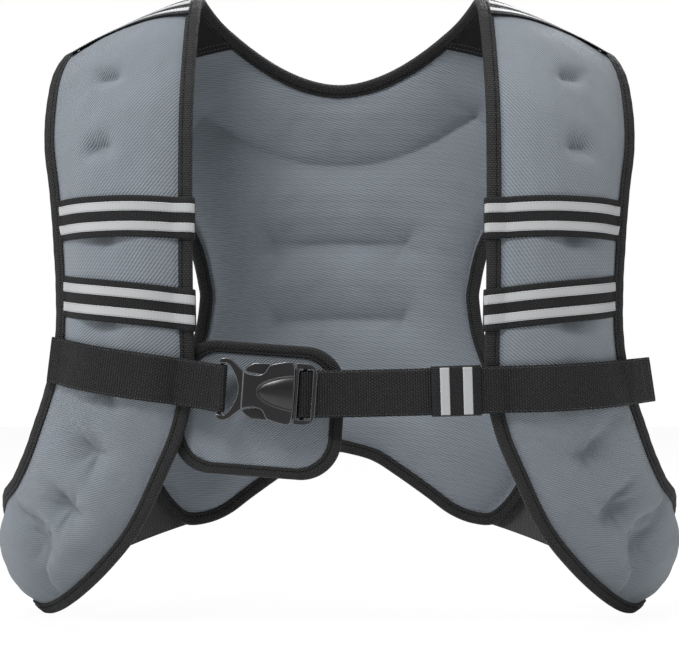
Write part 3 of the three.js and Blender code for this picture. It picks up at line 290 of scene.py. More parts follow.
def unit(vectors):
    return vectors / np.maximum(np.linalg.norm(vectors, axis=-1, keepdims=True), 1e-12)


def smooth(low, high, value):
    t = np.clip((np.asarray(value, float) - low) / (high - low), 0, 1)
    return t * t * (3 - 2 * t)


def mix(a, b, t):
    return a + (b - a) * t


def column(rows, names, key, place):
    """A column of a table at places between its rows, smooth through every row."""
    values = np.array([row[names.index(key)] for row in rows], float)
    place = np.asarray(place, float)
    i = np.clip(np.floor(place).astype(int), 0, len(values) - 2)
    t = place - i
    a, b, c, d = (values[np.clip(i + k, 0, len(values) - 1)] for k in (-1, 0, 1, 2))
    bend = 2 * a - 5 * b + 4 * c - d
    twist = 3 * b - a - 3 * c + d
    return 0.5 * (2 * b + (c - a) * t + bend * t * t + twist * t**3)


def points_of(x, y, z):
    return np.stack(np.broadcast_arrays(np.asarray(x, float), y, z), axis=-1)


def lengths_to(points):
    """How far along a line of points each one lies."""
    steps = np.linalg.norm(np.diff(points, axis=0), axis=1)
    return np.concatenate([[0], np.cumsum(steps)])


def part_along(vectors, direction):
    return direction * np.sum(vectors * direction, axis=-1, keepdims=True)


def distance_to_line(x, w, line):
    """Distance of each pattern point to the nearest part of a line of points, and how far along it."""
    best = np.full(np.shape(x), np.inf)
    along = np.zeros(np.shape(x))
    travelled = 0.0
    for (ax, aw), (bx, bw) in zip(line[:-1], line[1:]):
        dx, dw = bx - ax, bw - aw
        span = math.hypot(dx, dw)
        t = np.clip(((x - ax) * dx + (w - aw) * dw) / max(span**2, 1e-9), 0, 1)
        d = np.hypot(x - ax - t * dx, w - aw - t * dw)
        along = np.where(d < best, travelled + t * span, along)
        best = np.minimum(d, best)
        travelled += span
    return best, along


def mirror(points):
    return points * np.array([-1.0, 1.0, 1.0])


wander_random = np.random.default_rng(7)
WANDER_WAVES = [
    (
        wander_random.uniform(0.6, 1.8),
        wander_random.uniform(0, math.tau),
        wander_random.uniform(0, math.tau),
    )
    for _ in range(9)
]


def wander(x, y, wavelength):
    """Smooth seeded unevenness of about plus or minus one, like that of loose filling."""
    total = 0
    for rate, turn, phase in WANDER_WAVES:
        k = math.tau * rate / wavelength
        total = total + np.sin(k * (x * math.cos(turn) + y * math.sin(turn)) + phase)
    return total / 3


print("unevenness at the origin:", round(float(wander(0.0, 0.0, 40)), 3))

# %% [markdown]
# The front panel is a strip between two edges. It is stuffed most along its middle, and tacks pull the
# two faces together. Folds run into the deeper tacks, because the cloth has to go somewhere.

# %% Surface of a front panel


def front_edge(u, side):
    start = NECK_HALF if side == "in" else NECK_HALF + SHOULDER_WIDTH
    top = SEAM_RISE if side == "in" else SEAM_RISE - SHOULDER_FALL
    place = 1 + np.asarray(u, float) * (len(FRONT_ROWS) - 3)
    x, y, z = (column(FRONT_ROWS, FRONT_COLUMNS, f"{side}_{axis}", place) for axis in "xyz")
    return points_of(start + x * (HALF_SPAN - start), -y * FRONT_REACH, top - z * FRONT_DROP)


def front_middle(u, v):
    inner, outer = front_edge(u, "in"), front_edge(u, "out")
    along = sum(front_edge(u + NUDGE, s) - front_edge(u - NUDGE, s) for s in ("in", "out"))
    out = unit(np.cross(along, outer - inner))
    bow = FRONT_CAMBER * (1 - (2 * v - 1) ** 2) * smooth(0, CAMBER_FROM, u)
    return inner + (outer - inner) * np.asarray(v)[..., None] + out * bow[..., None]


def front_frame(u, v):
    u, v = np.broadcast_arrays(np.asarray(u, float), np.asarray(v, float))
    along = unit(front_middle(u + NUDGE, v) - front_middle(u - NUDGE, v))
    across = unit(front_middle(u, v + NUDGE_ACROSS) - front_middle(u, v - NUDGE_ACROSS))
    return front_middle(u, v), along, across, unit(np.cross(along, across))


def front_width(u):
    return np.linalg.norm(front_edge(u, "in") - front_edge(u, "out"), axis=-1)


LAST_STRETCH = float(np.linalg.norm(front_edge(END_FROM, "out") - front_edge(1.0, "out")))


def front_fill(u, v):
    """Share of the filling with no tacks pressed in."""
    width = front_width(u)
    beyond = np.minimum(v, 1 - v) * width - LIP - FLAT
    reach = np.clip(beyond / (width / 2 - LIP - FLAT), 0, 1)
    from_end = ((1 - u) / (1 - END_FROM)) * LAST_STRETCH
    end = np.sqrt(1 - (1 - np.clip(from_end / END_FALL, 0, 1)) ** 2)
    puff = column(FRONT_ROWS, FRONT_COLUMNS, "puff", 1 + u * (len(FRONT_ROWS) - 3))
    return (1 - (1 - reach) ** PUFF_SHARP) * puff * end


def front_detail(u, v, here, along, across):
    """Share of the filling left by the tacks, and the height of the folds, in millimetres."""
    left = np.ones(np.shape(u))
    folds = np.zeros(np.shape(u))
    for row, values in enumerate(TACKS):
        tack = dict(zip(TACK_COLUMNS, values))
        away = here - front_middle(np.array(tack["at"]), np.array(tack["across"]))
        a = np.sum(away * across, axis=-1)
        b = np.sum(away * along, axis=-1)
        a = np.where(a < 0, 1.35 * a, 0.85 * a)
        outside = np.maximum(np.abs(a) - tack["half"], 0)
        d = np.hypot(outside, b)
        left = left - tack["deep"] * np.exp(-((d / tack["wide"]) ** TACK_SHARP))
        angle = np.arctan2(b, a)
        rays = np.cos(5 * angle + row) + 0.6 * np.cos(3 * angle + 2.1 * row) + 0.5 * np.cos(8 * angle - row)
        near = smooth(0, 9, d) * np.exp(-((d / (1.7 * tack["wide"])) ** 2))
        folds = folds + tack["fold"] * rays * near
        if tack["half"] > 3:
            folds = folds - 0.8 * np.exp(-((b / 2.5) ** 2)) * np.exp(-((a / 11) ** 4))
    return left * turn_fold(u, v, here, along, across), folds


def turn_fold(u, v, here, along, across):
    """Share of the filling left by the fold, which is steep on its upper side and gentle below."""
    nearest = np.full(np.shape(u), np.inf)
    beyond = np.zeros(np.shape(u))
    ends = [front_middle(np.array(at), np.array(place)) for at, place in TURN_FOLD]
    for start, end in zip(ends[:-1], ends[1:]):
        span = end - start
        t = np.clip(np.sum((here - start) * span, axis=-1) / np.dot(span, span), 0, 1)
        away = here - start - span * t[..., None]
        d = np.linalg.norm(away, axis=-1)
        closer = d < nearest
        beyond = np.where(closer, np.sum(away * along, axis=-1), beyond)
        nearest = np.where(closer, d, nearest)
    below = smooth(-3, 3, beyond)
    reach = mix(FOLD_STEEP, FOLD_ROUND, below)
    return 1 - FOLD_DEEP * np.exp(-((nearest / reach) ** 1.2))


def front_point(u, v, face, lift=0.0, detail=True):
    here, along, across, n = front_frame(u, v)
    share = FRONT_OUT if face > 0 else 1 - FRONT_OUT
    fill = front_fill(u, v)
    height = EDGE / 2 + share * FRONT_PUFF * fill
    if detail:
        left, folds = front_detail(u, v, here, along, across)
        s = u * FLAT_LENGTH
        t = v * front_width(u)
        uneven = FRONT_LUMP * wander(s, t, FRONT_LUMP_WAVE) + FRONT_GRAIN * wander(t, s, FRONT_GRAIN_WAVE)
        stuffed = np.clip(fill * 2.2, 0, 1)
        height = EDGE / 2 + share * FRONT_PUFF * fill * left + (folds + uneven) * stuffed
        rim = np.minimum(v, 1 - v) * front_width(u) - LIP
        bent = smooth(0.52, 0.62, u) * (1 - smooth(0.9, 1, u))
        ripple = np.sin(s / 3.4 + 2 * np.sin(s / 21)) * np.exp(-np.maximum(rim, 0) / 8) * smooth(0, 3, rim)
        height = height + (RIPPLE + BENT_RIPPLE * bent) * ripple
    return here + n * (face * (height + lift))[..., None]


print("panel width at the waist:", round(float(front_width(np.array(0.5))), 1), "mm")

# %% [markdown]
# The back is one pattern piece. x runs across it and w down along the cloth, over the top of the
# shoulders. The sewn channels pinch it flat, and the filling comes back within a finger's width of each.

# %% Surface of the back


def back_sheet(x, w):
    x, w = np.broadcast_arrays(np.asarray(x, float), np.asarray(w, float))
    beyond = np.abs(x) - NECK_HALF
    soft = RIDGE_SOFT * smooth(0, RIDGE_FROM, w)
    ramp = (beyond + np.sqrt(beyond**2 + soft**2)) / 2
    top = SEAM_RISE - (SHOULDER_FALL / SHOULDER_WIDTH) * ramp
    reach = BACK_REACH * (1 - SIDE_CURVE * (x / SEAM_HALF) ** 2)
    turn = np.clip(w / ARCH_LENGTH, -1, 1) * (math.pi / 2)
    below = np.maximum(0, w - ARCH_LENGTH)
    lean = LUMBAR * smooth(ARCH_LENGTH, BACK_LENGTH, w)
    return points_of(x, reach * np.sin(turn) - lean, top - ARCH_DROP * (1 - np.cos(turn)) - below)


def back_frame(x, w):
    across = unit(back_sheet(x + 0.5, w) - back_sheet(x - 0.5, w))
    down = unit(back_sheet(x, w + 0.5) - back_sheet(x, w - 0.5))
    return back_sheet(x, w), across, down, unit(np.cross(across, down))


def neck_edge(t):
    angle = np.asarray(t, float) * (math.pi / 2)
    x = NECK_HALF * np.maximum(np.sin(angle), 0) ** (2 / NECK_SHARP)
    return np.stack([x, NECK_DIP * np.abs(np.cos(angle)) ** (2 / NECK_SHARP)], axis=-1)


def arm_edge(t):
    t = np.asarray(t, float)
    waist = WAIST_AT * BACK_LENGTH
    above = t / ARM_SPLIT * (len(ARM_HOLE_ABOVE) - 1)
    below = (t - ARM_SPLIT) / (1 - ARM_SPLIT) * (len(ARM_HOLE_BELOW) - 1)
    x_above = WAIST_HALF + column(ARM_HOLE_ABOVE, ARM_COLUMNS, "x", above) * (SEAM_HALF - WAIST_HALF)
    x_below = WAIST_HALF + column(ARM_HOLE_BELOW, ARM_COLUMNS, "x", below) * (LOBE_HALF - WAIST_HALF)
    w_above = column(ARM_HOLE_ABOVE, ARM_COLUMNS, "w", above) * waist
    w_below = mix(waist, CORNER_AT * BACK_LENGTH, column(ARM_HOLE_BELOW, ARM_COLUMNS, "w", below))
    high = t < ARM_SPLIT
    return np.stack([np.where(high, x_above, x_below), np.where(high, w_above, w_below)], axis=-1)


def hem_edge(c):
    place = np.asarray(c, float) * (len(HEM) - 1)
    w = BACK_LENGTH + column(HEM, HEM_COLUMNS, "drop", place) * LOBE_DROP
    return np.stack([column(HEM, HEM_COLUMNS, "x", place) * LOBE_HALF, w], axis=-1)


ARM_LINE = arm_edge(np.linspace(0, 1, 400))


def arm_x(w):
    """The arm hole edge at places down the cloth."""
    return np.interp(w, ARM_LINE[:, 1], ARM_LINE[:, 0])


OUTLINE = [
    neck_edge(np.linspace(0, 1, 40)),
    arm_edge(np.linspace(0, 1, 60)),
    hem_edge(np.linspace(0, 1, 50)),
]


def channel_line(half, at, sag, count=40):
    s = np.linspace(-1, 1, count)
    return np.stack([s * half * WAIST_HALF, (at - sag * np.abs(s) ** SMILE_SHARP) * BACK_LENGTH], axis=-1)


def back_height(x, w):
    """Half the thickness of the padded back, with its channels, puckers and unevenness."""
    edge = np.minimum.reduce([distance_to_line(np.abs(x), w, line)[0] for line in OUTLINE]) - LIP - FLAT
    fill = 1 - np.exp(-np.maximum(0, edge) / EDGE_FALL)
    fill = fill * mix(SHOULDER_FILL, 1, smooth(FACING_LENGTH * FILL_FROM, FACING_LENGTH * FILL_TO, w))
    pucker = np.zeros(np.shape(x))
    for half, at, sag in CHANNELS:
        line = channel_line(half, at, sag)
        d, along = distance_to_line(x, w, line)
        fill = fill * (1 - CHANNEL_DEEP * np.exp(-((d / CHANNEL_FALL) ** 0.9)))
        gathers = PUCKER * np.sin(along / 2.9 + 1.5 * np.sin(along / 17))
        pucker = pucker + gathers * np.exp(-d / 6) * smooth(0, 2.5, d)
        for end in (0, -1):
            dx, dw = x - line[end, 0], w - line[end, 1]
            far = np.hypot(dx, dw)
            rays = np.cos(4 * np.arctan2(dw, dx) + 0.7) * smooth(0, 8, far) * np.exp(-((far / 24) ** 2))
            pucker = pucker + END_PUCKER * rays
    uneven = BACK_LUMP * wander(x, w, BACK_LUMP_WAVE) + BACK_GRAIN * wander(w, x, BACK_GRAIN_WAVE)
    ripple = np.sin(w / 3.6 + np.abs(x) / 9) * np.exp(-np.maximum(edge, 0) / 7) * smooth(0, 3, edge)
    stuffed = np.clip(2 * fill, 0, 1)
    return EDGE / 2 + 0.5 * BACK_PUFF * fill + (pucker + uneven) * stuffed + BACK_RIPPLE * ripple


def back_point(x, w, face, lift=0.0):
    here, _, _, n = back_frame(x, w)
    height = back_height(x, w)
    if face < 0:
        height = EDGE / 2 + (height - EDGE / 2) * BACK_IN
    return here + n * (face * (height + lift))[..., None]


print("arch length:", round(ARCH_LENGTH, 1), "mm, waist half:", round(float(arm_x(300.0)), 1), "mm")

# %% [markdown]
# Meshes. A slab is two grids of points closed round the rim: cloth, tape, elastic and webbing all have
# two faces. Each point also keeps where it lies on the flat cloth, in metres, so that a weave follows
# the cloth and isn't projected through it.

# %% Making meshes


def make_object(name, points, faces, flat):
    """A mesh object from points in millimetres, with flat as its UV map in millimetres."""
    mesh = bpy.data.meshes.new(name)
    mesh.from_pydata((np.asarray(points) * MM).tolist(), [], np.asarray(faces).tolist())
    layer = mesh.uv_layers.new(name="flat")
    corner = np.zeros(len(mesh.loops), np.int32)
    mesh.loops.foreach_get("vertex_index", corner)
    layer.data.foreach_set("uv", (np.asarray(flat)[corner] * MM).astype(np.float32).ravel())
    work = bmesh.new()
    work.from_mesh(mesh)
    bmesh.ops.recalc_face_normals(work, faces=work.faces)
    work.to_mesh(mesh)
    work.free()
    mesh.shade_smooth()
    obj = bpy.data.objects.new(name, mesh)
    bpy.context.scene.collection.objects.link(obj)
    return obj


def grid_quads(rows, columns, start=0, closed=False):
    i, j = np.meshgrid(np.arange(rows if closed else rows - 1), np.arange(columns - 1), indexing="ij")
    following = (i + 1) % rows
    corners = (i * columns + j, i * columns + j + 1, following * columns + j + 1, following * columns + j)
    return np.stack(corners, axis=-1).reshape(-1, 4) + start


def slab(name, front, back, flat):
    """A closed sheet between two grids of points."""
    rows, columns = front.shape[:2]
    count = rows * columns
    points = np.concatenate([front.reshape(-1, 3), back.reshape(-1, 3)])
    rim = list(range(columns))
    rim += [i * columns + columns - 1 for i in range(1, rows)]
    rim += [(rows - 1) * columns + j for j in range(columns - 2, -1, -1)]
    rim += [i * columns for i in range(rows - 2, 0, -1)]
    turned = np.roll(rim, -1)
    sides = np.stack([rim, turned, turned + count, np.array(rim) + count], axis=-1)
    faces = np.concatenate([grid_quads(rows, columns), grid_quads(rows, columns, count)[:, ::-1], sides])
    return make_object(name, points, faces, np.concatenate([flat.reshape(-1, 2)] * 2))


def sweep(name, profile, path, sideways, normal, closed=False):
    """A closed outline of (across, out) points carried along a path."""
    count = len(profile)
    across, out = profile[None, :, :1], profile[None, :, 1:]
    points = path[:, None] + sideways[:, None] * across + normal[:, None] * out
    flat = np.broadcast_arrays(lengths_to(path)[:, None], lengths_to(profile)[None])
    flat = np.stack(flat, axis=-1).reshape(-1, 2)
    rows = len(path)
    i, j = np.meshgrid(np.arange(rows if closed else rows - 1), np.arange(count), indexing="ij")
    i_next, j_next = (i + 1) % rows, (j + 1) % count
    corners = (i * count + j, i * count + j_next, i_next * count + j_next, i_next * count + j)
    faces = np.stack(corners, axis=-1).reshape(-1, 4).tolist()
    if not closed:
        faces += [list(range(count)), list(range((rows - 1) * count, rows * count))]
    return make_mixed(name, points.reshape(-1, 3), faces, flat)


def make_mixed(name, points, faces, flat):
    """As make_object, for faces with different numbers of corners."""
    longest = max(len(face) for face in faces)
    quads = np.array([face for face in faces if len(face) == 4])
    obj = make_object(name, points, quads, flat)
    if longest > 4:
        work = bmesh.new()
        work.from_mesh(obj.data)
        work.verts.ensure_lookup_table()
        for face in faces:
            if len(face) > 4:
                work.faces.new([work.verts[k] for k in face])
        bmesh.ops.recalc_face_normals(work, faces=work.faces)
        work.to_mesh(obj.data)
        work.free()
    return obj


def even_path(points, others, step, soften=1):
    """Points along a line at even distances, with other arrays carried along, softened over neighbours."""
    travelled = lengths_to(points)
    places = np.linspace(0, travelled[-1], max(3, round(travelled[-1] / step) + 1))
    found = []
    for values in (points, *others):
        columns = [np.interp(places, travelled, values[:, k]) for k in range(3)]
        found.append(np.stack(columns, axis=-1))
    for _ in range(soften):
        for a in found:
            a[1:-1] = 0.25 * a[:-2] + 0.5 * a[1:-1] + 0.25 * a[2:]
    return [found[0], *(unit(a) for a in found[1:])]


def square_to(path, sideways):
    """Directions across a path, and out of it, square to each other."""
    along = unit(np.gradient(path, axis=0))
    across = unit(sideways - part_along(sideways, along))
    return across, unit(np.cross(along, across))


def ribbon(name, path, across, out, width, thick, columns):
    """A flat band along a path, thinner at its two edges."""
    s = np.linspace(-0.5, 0.5, columns)
    sheet = path[:, None] + across[:, None] * (s * width)[None, :, None]
    flat = np.stack(np.broadcast_arrays(lengths_to(path)[:, None], (s * width)[None]), axis=-1)
    edge = np.where(np.abs(s) > 0.499, RIBBON_EDGE, 1.0)
    half = out[:, None] * (edge * thick / 2)[None, :, None]
    return slab(name, sheet + half, sheet - half, flat)


def twin(obj, name):
    """The mirror image of a piece, on the other side."""
    mesh = obj.data.copy()
    mesh.name = name
    co = np.zeros(len(mesh.vertices) * 3, np.float32)
    mesh.vertices.foreach_get("co", co)
    co = co.reshape(-1, 3) * np.array([-1, 1, 1], np.float32)
    mesh.vertices.foreach_set("co", co.ravel())
    mesh.flip_normals()
    other = bpy.data.objects.new(name, mesh)
    bpy.context.scene.collection.objects.link(other)
    return other


def finished(obj, material, slot, *nodes):
    """Gives a piece its material and its place in the frame."""
    if material.name not in obj.data.materials:
        obj.data.materials.clear()
        obj.data.materials.append(material)
    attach(obj, "root")
    if nodes:
        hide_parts(*nodes)
    return obj


def pair(obj, material, slot, node):
    """A right-hand piece and its twin on the left, both finished."""
    left = twin(obj, obj.name.replace("_right", "_left"))
    finished(obj, material, slot, f"{node}_right")
    finished(left, material, slot, f"{node}_left")
    return obj, left


print("mesh tools ready")

# %% [markdown]
# Effects that several materials share are node groups with plain outputs. The knit of the neoprene is
# fine diagonal lines. The tapes and the webbing are woven, with raised yarns both ways. The unevenness
# is broad, as from handling and from the dye.

# %% Shared effects


def shader_group(name, inputs, outputs):
    tree = bpy.data.node_groups.new(name, "ShaderNodeTree")
    for label, kind, value in inputs:
        socket = tree.interface.new_socket(label, in_out="INPUT", socket_type=kind)
        if value is not None:
            socket.default_value = value
    for label, kind in outputs:
        tree.interface.new_socket(label, in_out="OUTPUT", socket_type=kind)
    return tree, tree.nodes.new("NodeGroupInput"), tree.nodes.new("NodeGroupOutput")


def add_node(tree, kind, values=(), **settings):
    made = tree.nodes.new(kind)
    for key, value in settings.items():
        setattr(made, key, value)
    for key, value in dict(values).items():
        if isinstance(value, bpy.types.NodeSocket):
            tree.links.new(value, made.inputs[key])
        else:
            made.inputs[key].default_value = value
    return made


def maths(tree, operation, a, b=0.0, c=0.0):
    return add_node(tree, "ShaderNodeMath", {0: a, 1: b, 2: c}, operation=operation).outputs[0]


def knit_group():
    """Height of fine slanting ribs of pitch Pitch, each rib broken into small loops."""
    tree, given, out = shader_group(
        "Knit ribs",
        [
            ("Vector", "NodeSocketVector", None),
            ("Pitch", "NodeSocketFloat", 0.0014),
            ("Slant", "NodeSocketFloat", 0.9),
        ],
        [("Height", "NodeSocketFloat")],
    )
    place = given.outputs["Vector"]
    parts = add_node(tree, "ShaderNodeSeparateXYZ", {0: place})
    noise = add_node(tree, "ShaderNodeTexNoise", {"Vector": place, "Scale": 90.0, "Detail": 2.0})
    drift = maths(tree, "MULTIPLY", noise.outputs["Fac"], 0.0012)
    leaning = maths(tree, "MULTIPLY_ADD", parts.outputs[1], given.outputs["Slant"], parts.outputs[0])
    turns = maths(tree, "DIVIDE", maths(tree, "ADD", leaning, drift), given.outputs["Pitch"])
    rib = maths(tree, "SINE", maths(tree, "MULTIPLY", turns, math.tau))
    loops = maths(tree, "DIVIDE", parts.outputs[1], maths(tree, "MULTIPLY", given.outputs["Pitch"], 0.62))
    loop = maths(tree, "SINE", maths(tree, "MULTIPLY", loops, math.tau))
    height = maths(tree, "MULTIPLY_ADD", loop, 0.22, rib)
    tree.links.new(maths(tree, "MULTIPLY_ADD", height, 0.4, 0.5), out.inputs["Height"])
    return tree


def weave_group():
    """Height of a plain weave: yarns along, Warp apart, go over and under yarns across, Weft apart."""
    tree, given, out = shader_group(
        "Woven yarns",
        [
            ("Vector", "NodeSocketVector", None),
            ("Warp", "NodeSocketFloat", 0.0011),
            ("Weft", "NodeSocketFloat", 0.0016),
        ],
        [("Height", "NodeSocketFloat")],
    )
    parts = add_node(tree, "ShaderNodeSeparateXYZ", {0: given.outputs["Vector"]})
    along = maths(tree, "DIVIDE", parts.outputs[0], given.outputs["Weft"])
    along = maths(tree, "MULTIPLY", along, math.pi)
    across = maths(tree, "DIVIDE", parts.outputs[1], given.outputs["Warp"])
    across = maths(tree, "MULTIPLY", across, math.pi)
    crossing = maths(tree, "MULTIPLY", maths(tree, "SINE", along), maths(tree, "SINE", across))
    ridge = maths(tree, "ABSOLUTE", maths(tree, "SINE", along))
    height = maths(tree, "MULTIPLY_ADD", crossing, 0.35, maths(tree, "MULTIPLY", ridge, 0.5))
    tree.links.new(maths(tree, "ADD", height, 0.2), out.inputs["Height"])
    return tree


def uneven_group():
    """Broad and fine unevenness from 0 to 1, and a mask of ridges and edges for wear and painted highlight.
    """
    tree, given, out = shader_group(
        "Handled cloth",
        [("Vector", "NodeSocketVector", None), ("Size", "NodeSocketFloat", 14.0)],
        [("Broad", "NodeSocketFloat"), ("Fine", "NodeSocketFloat"), ("Edge wear and highlight", "NodeSocketFloat")],
    )
    place, size = given.outputs["Vector"], given.outputs["Size"]
    broad = add_node(tree, "ShaderNodeTexNoise", {"Vector": place, "Scale": size, "Detail": 3.0})
    small = maths(tree, "MULTIPLY", size, 30.0)
    fine = add_node(tree, "ShaderNodeTexNoise", {"Vector": place, "Scale": small, "Detail": 4.0})
    ridge = add_node(tree, "ShaderNodeNewGeometry").outputs["Pointiness"]
    edge_wear_and_highlight = add_node(tree, "ShaderNodeMapRange", {"Value": ridge, "From Min": 0.52, "From Max": 0.62})
    tree.links.new(broad.outputs["Fac"], out.inputs["Broad"])
    tree.links.new(fine.outputs["Fac"], out.inputs["Fine"])
    tree.links.new(edge_wear_and_highlight.outputs["Result"], out.inputs["Edge wear and highlight"])
    return tree


KNIT = knit_group()
WEAVE = weave_group()
UNEVEN = uneven_group()
print("node groups:", [tree.name for tree in (KNIT, WEAVE, UNEVEN)])

# %% [markdown]
# Materials. Each one is a Principled surface with its own base colour, roughness, sheen and bump. The
# neoprene's face is a matt knit with a soft sheen. The tapes and the webbing are near-black yarn. The
# reflective stripes are smoother and brighter, and the buckle is moulded plastic.

# %% Materials


def cloth(name, colour, pattern, values, roughness, sheen, bump, height, contrast, edge_wear_and_highlight):
    """A cloth of a shared pattern, with that pattern's own input values.

    The pattern raises the surface by height. By contrast it lightens the raised yarns and darkens the
    hollows between them, a painted highlight and shade. The last argument is how much the ridges are
    rubbed pale.
    """
    material = bpy.data.materials.new(name)
    material.use_nodes = True
    tree = material.node_tree
    surface = next(n for n in tree.nodes if n.type == "BSDF_PRINCIPLED")
    flat = add_node(tree, "ShaderNodeUVMap", uv_map="flat").outputs["UV"]
    place = add_node(tree, "ShaderNodeTexCoord").outputs["Object"]
    weave = add_node(tree, "ShaderNodeGroup", node_tree=pattern)
    tree.links.new(flat, weave.inputs["Vector"])
    for key, value in values.items():
        weave.inputs[key].default_value = value
    handled = add_node(tree, "ShaderNodeGroup", node_tree=UNEVEN)
    tree.links.new(place, handled.inputs["Vector"])
    # Painted highlight and shade: the weave's raised yarns are coloured lighter and its hollows darker,
    # with a broad random tone on top.
    dark = tuple(c * max(0.25, 1 - contrast) for c in colour)
    light = tuple(min(1, c * (1 + contrast) + 0.004) for c in colour)
    shade = add_node(tree, "ShaderNodeMix", {6: (*dark, 1), 7: (*light, 1)}, data_type="RGBA")
    broad = maths(tree, "MULTIPLY", handled.outputs["Broad"], 0.3)
    amount = maths(tree, "MULTIPLY_ADD", weave.outputs["Height"], 0.9, broad)
    tree.links.new(amount, shade.inputs[0])
    pale = tuple(min(1, c * 1.5 + 0.02) for c in colour)
    rubbed = add_node(tree, "ShaderNodeMix", {6: shade.outputs[2], 7: (*pale, 1)}, data_type="RGBA")
    tree.links.new(maths(tree, "MULTIPLY", handled.outputs["Edge wear and highlight"], edge_wear_and_highlight), rubbed.inputs[0])
    tree.links.new(rubbed.outputs[2], surface.inputs["Base Color"])
    rough = maths(tree, "MULTIPLY_ADD", handled.outputs["Fine"], 0.16, roughness - 0.08)
    tree.links.new(rough, surface.inputs["Roughness"])
    raised = maths(tree, "MULTIPLY_ADD", handled.outputs["Fine"], 0.35, weave.outputs["Height"])
    bumped = add_node(tree, "ShaderNodeBump", {"Strength": bump, "Distance": height, "Height": raised})
    tree.links.new(bumped.outputs["Normal"], surface.inputs["Normal"])
    surface.inputs["Sheen Weight"].default_value = sheen
    surface.inputs["Sheen Roughness"].default_value = 0.45
    surface.inputs["Specular IOR Level"].default_value = 0.16
    return material


def moulded(name, colour, roughness, shine):
    """Moulded plastic: a fine grain, and a painted highlight on its ridges and edges."""
    material = bpy.data.materials.new(name)
    material.use_nodes = True
    tree = material.node_tree
    surface = next(n for n in tree.nodes if n.type == "BSDF_PRINCIPLED")
    place = add_node(tree, "ShaderNodeTexCoord").outputs["Object"]
    handled = add_node(tree, "ShaderNodeGroup", node_tree=UNEVEN)
    tree.links.new(place, handled.inputs["Vector"])
    handled.inputs["Size"].default_value = 40.0
    # Painted highlight: the ridges and edges that the mask finds are coloured paler.
    pale = tuple(c * 2.2 + 0.01 for c in colour)
    edge_wear_and_highlight = add_node(tree, "ShaderNodeMix", {6: (*colour, 1), 7: (*pale, 1)}, data_type="RGBA")
    tree.links.new(maths(tree, "MULTIPLY", handled.outputs["Edge wear and highlight"], 0.5), edge_wear_and_highlight.inputs[0])
    tree.links.new(edge_wear_and_highlight.outputs[2], surface.inputs["Base Color"])
    rough = maths(tree, "MULTIPLY_ADD", handled.outputs["Broad"], 0.12, roughness - 0.06)
    tree.links.new(rough, surface.inputs["Roughness"])
    grain = {"Strength": 0.12, "Distance": 0.0001, "Height": handled.outputs["Fine"]}
    bumped = add_node(tree, "ShaderNodeBump", grain)
    tree.links.new(bumped.outputs["Normal"], surface.inputs["Normal"])
    surface.inputs["Specular IOR Level"].default_value = 0.5 + shine / 2
    return material


# Base colours of the cloths and threads
GREY = (0.2, 0.226, 0.254)
BLACK = (0.00864, 0.00864, 0.00936)
DARK = (0.01612, 0.01612, 0.01674)
SIDE_GREY = (0.06, 0.06, 0.062)
SILVER = (0.46, 0.47, 0.48)
# Near black, darker than any cloth: the thread's own black, with the shade of the groove that the stitches
# sink into painted in.
THREAD_BLACK = (0.004, 0.004, 0.005)
THREAD_GREY = (0.12, 0.12, 0.125)
THREAD_PANEL = (0.12, 0.14, 0.165)
YARN = {"Warp": 0.0004, "Weft": 0.0006}

NEOPRENE = cloth(
    "neoprene",
    GREY,
    KNIT,
    {"Pitch": 0.0027, "Slant": -1.2},
    roughness=0.62,
    sheen=0.2,
    bump=0.9,
    height=0.0006,
    contrast=0.3,
    edge_wear_and_highlight=0.12,
)
BACK_CLOTH = cloth(
    "back neoprene",
    GREY,
    KNIT,
    {"Pitch": 0.0084, "Slant": -3.6},
    roughness=0.62,
    sheen=0.2,
    bump=0.8,
    height=0.0005,
    contrast=0.2,
    edge_wear_and_highlight=0.12,
)
TAPE_CLOTH = cloth(
    "binding tape",
    DARK,
    WEAVE,
    {"Warp": 0.0014, "Weft": 0.0019},
    roughness=0.55,
    sheen=0.03,
    bump=1.0,
    height=0.0011,
    contrast=1.3,
    edge_wear_and_highlight=0.14,
)
WEBBING = cloth(
    "webbing",
    BLACK,
    WEAVE,
    {"Warp": 0.0013, "Weft": 0.0021},
    roughness=0.42,
    sheen=0.02,
    bump=1.0,
    height=0.0014,
    contrast=2.2,
    edge_wear_and_highlight=0.1,
)
ELASTIC = cloth(
    "ribbed elastic",
    BLACK,
    WEAVE,
    {"Warp": 0.0013, "Weft": 0.0017},
    roughness=0.55,
    sheen=0.03,
    bump=1.0,
    height=0.0009,
    contrast=1.6,
    edge_wear_and_highlight=0.1,
)
SIDE_CLOTH = cloth(
    "side elastic",
    SIDE_GREY,
    WEAVE,
    {"Warp": 0.003, "Weft": 0.0013},
    roughness=0.6,
    sheen=0.08,
    bump=1.0,
    height=0.0009,
    contrast=0.8,
    edge_wear_and_highlight=0.2,
)
FACING = cloth(
    "facing cloth",
    BLACK,
    WEAVE,
    {"Warp": 0.0012, "Weft": 0.0014},
    roughness=0.8,
    sheen=0.1,
    bump=0.8,
    height=0.0004,
    contrast=0.6,
    edge_wear_and_highlight=0.2,
)
REFLECTIVE = cloth(
    "reflective tape",
    SILVER,
    WEAVE,
    {"Warp": 0.0009, "Weft": 0.0009},
    roughness=0.42,
    sheen=0.0,
    bump=0.25,
    height=0.0001,
    contrast=0.06,
    edge_wear_and_highlight=0.1,
)
THREAD = cloth(
    "black thread",
    THREAD_BLACK,
    WEAVE,
    YARN,
    roughness=0.7,
    sheen=0.0,
    bump=0.4,
    height=0.0001,
    contrast=0.3,
    edge_wear_and_highlight=0.0,
)
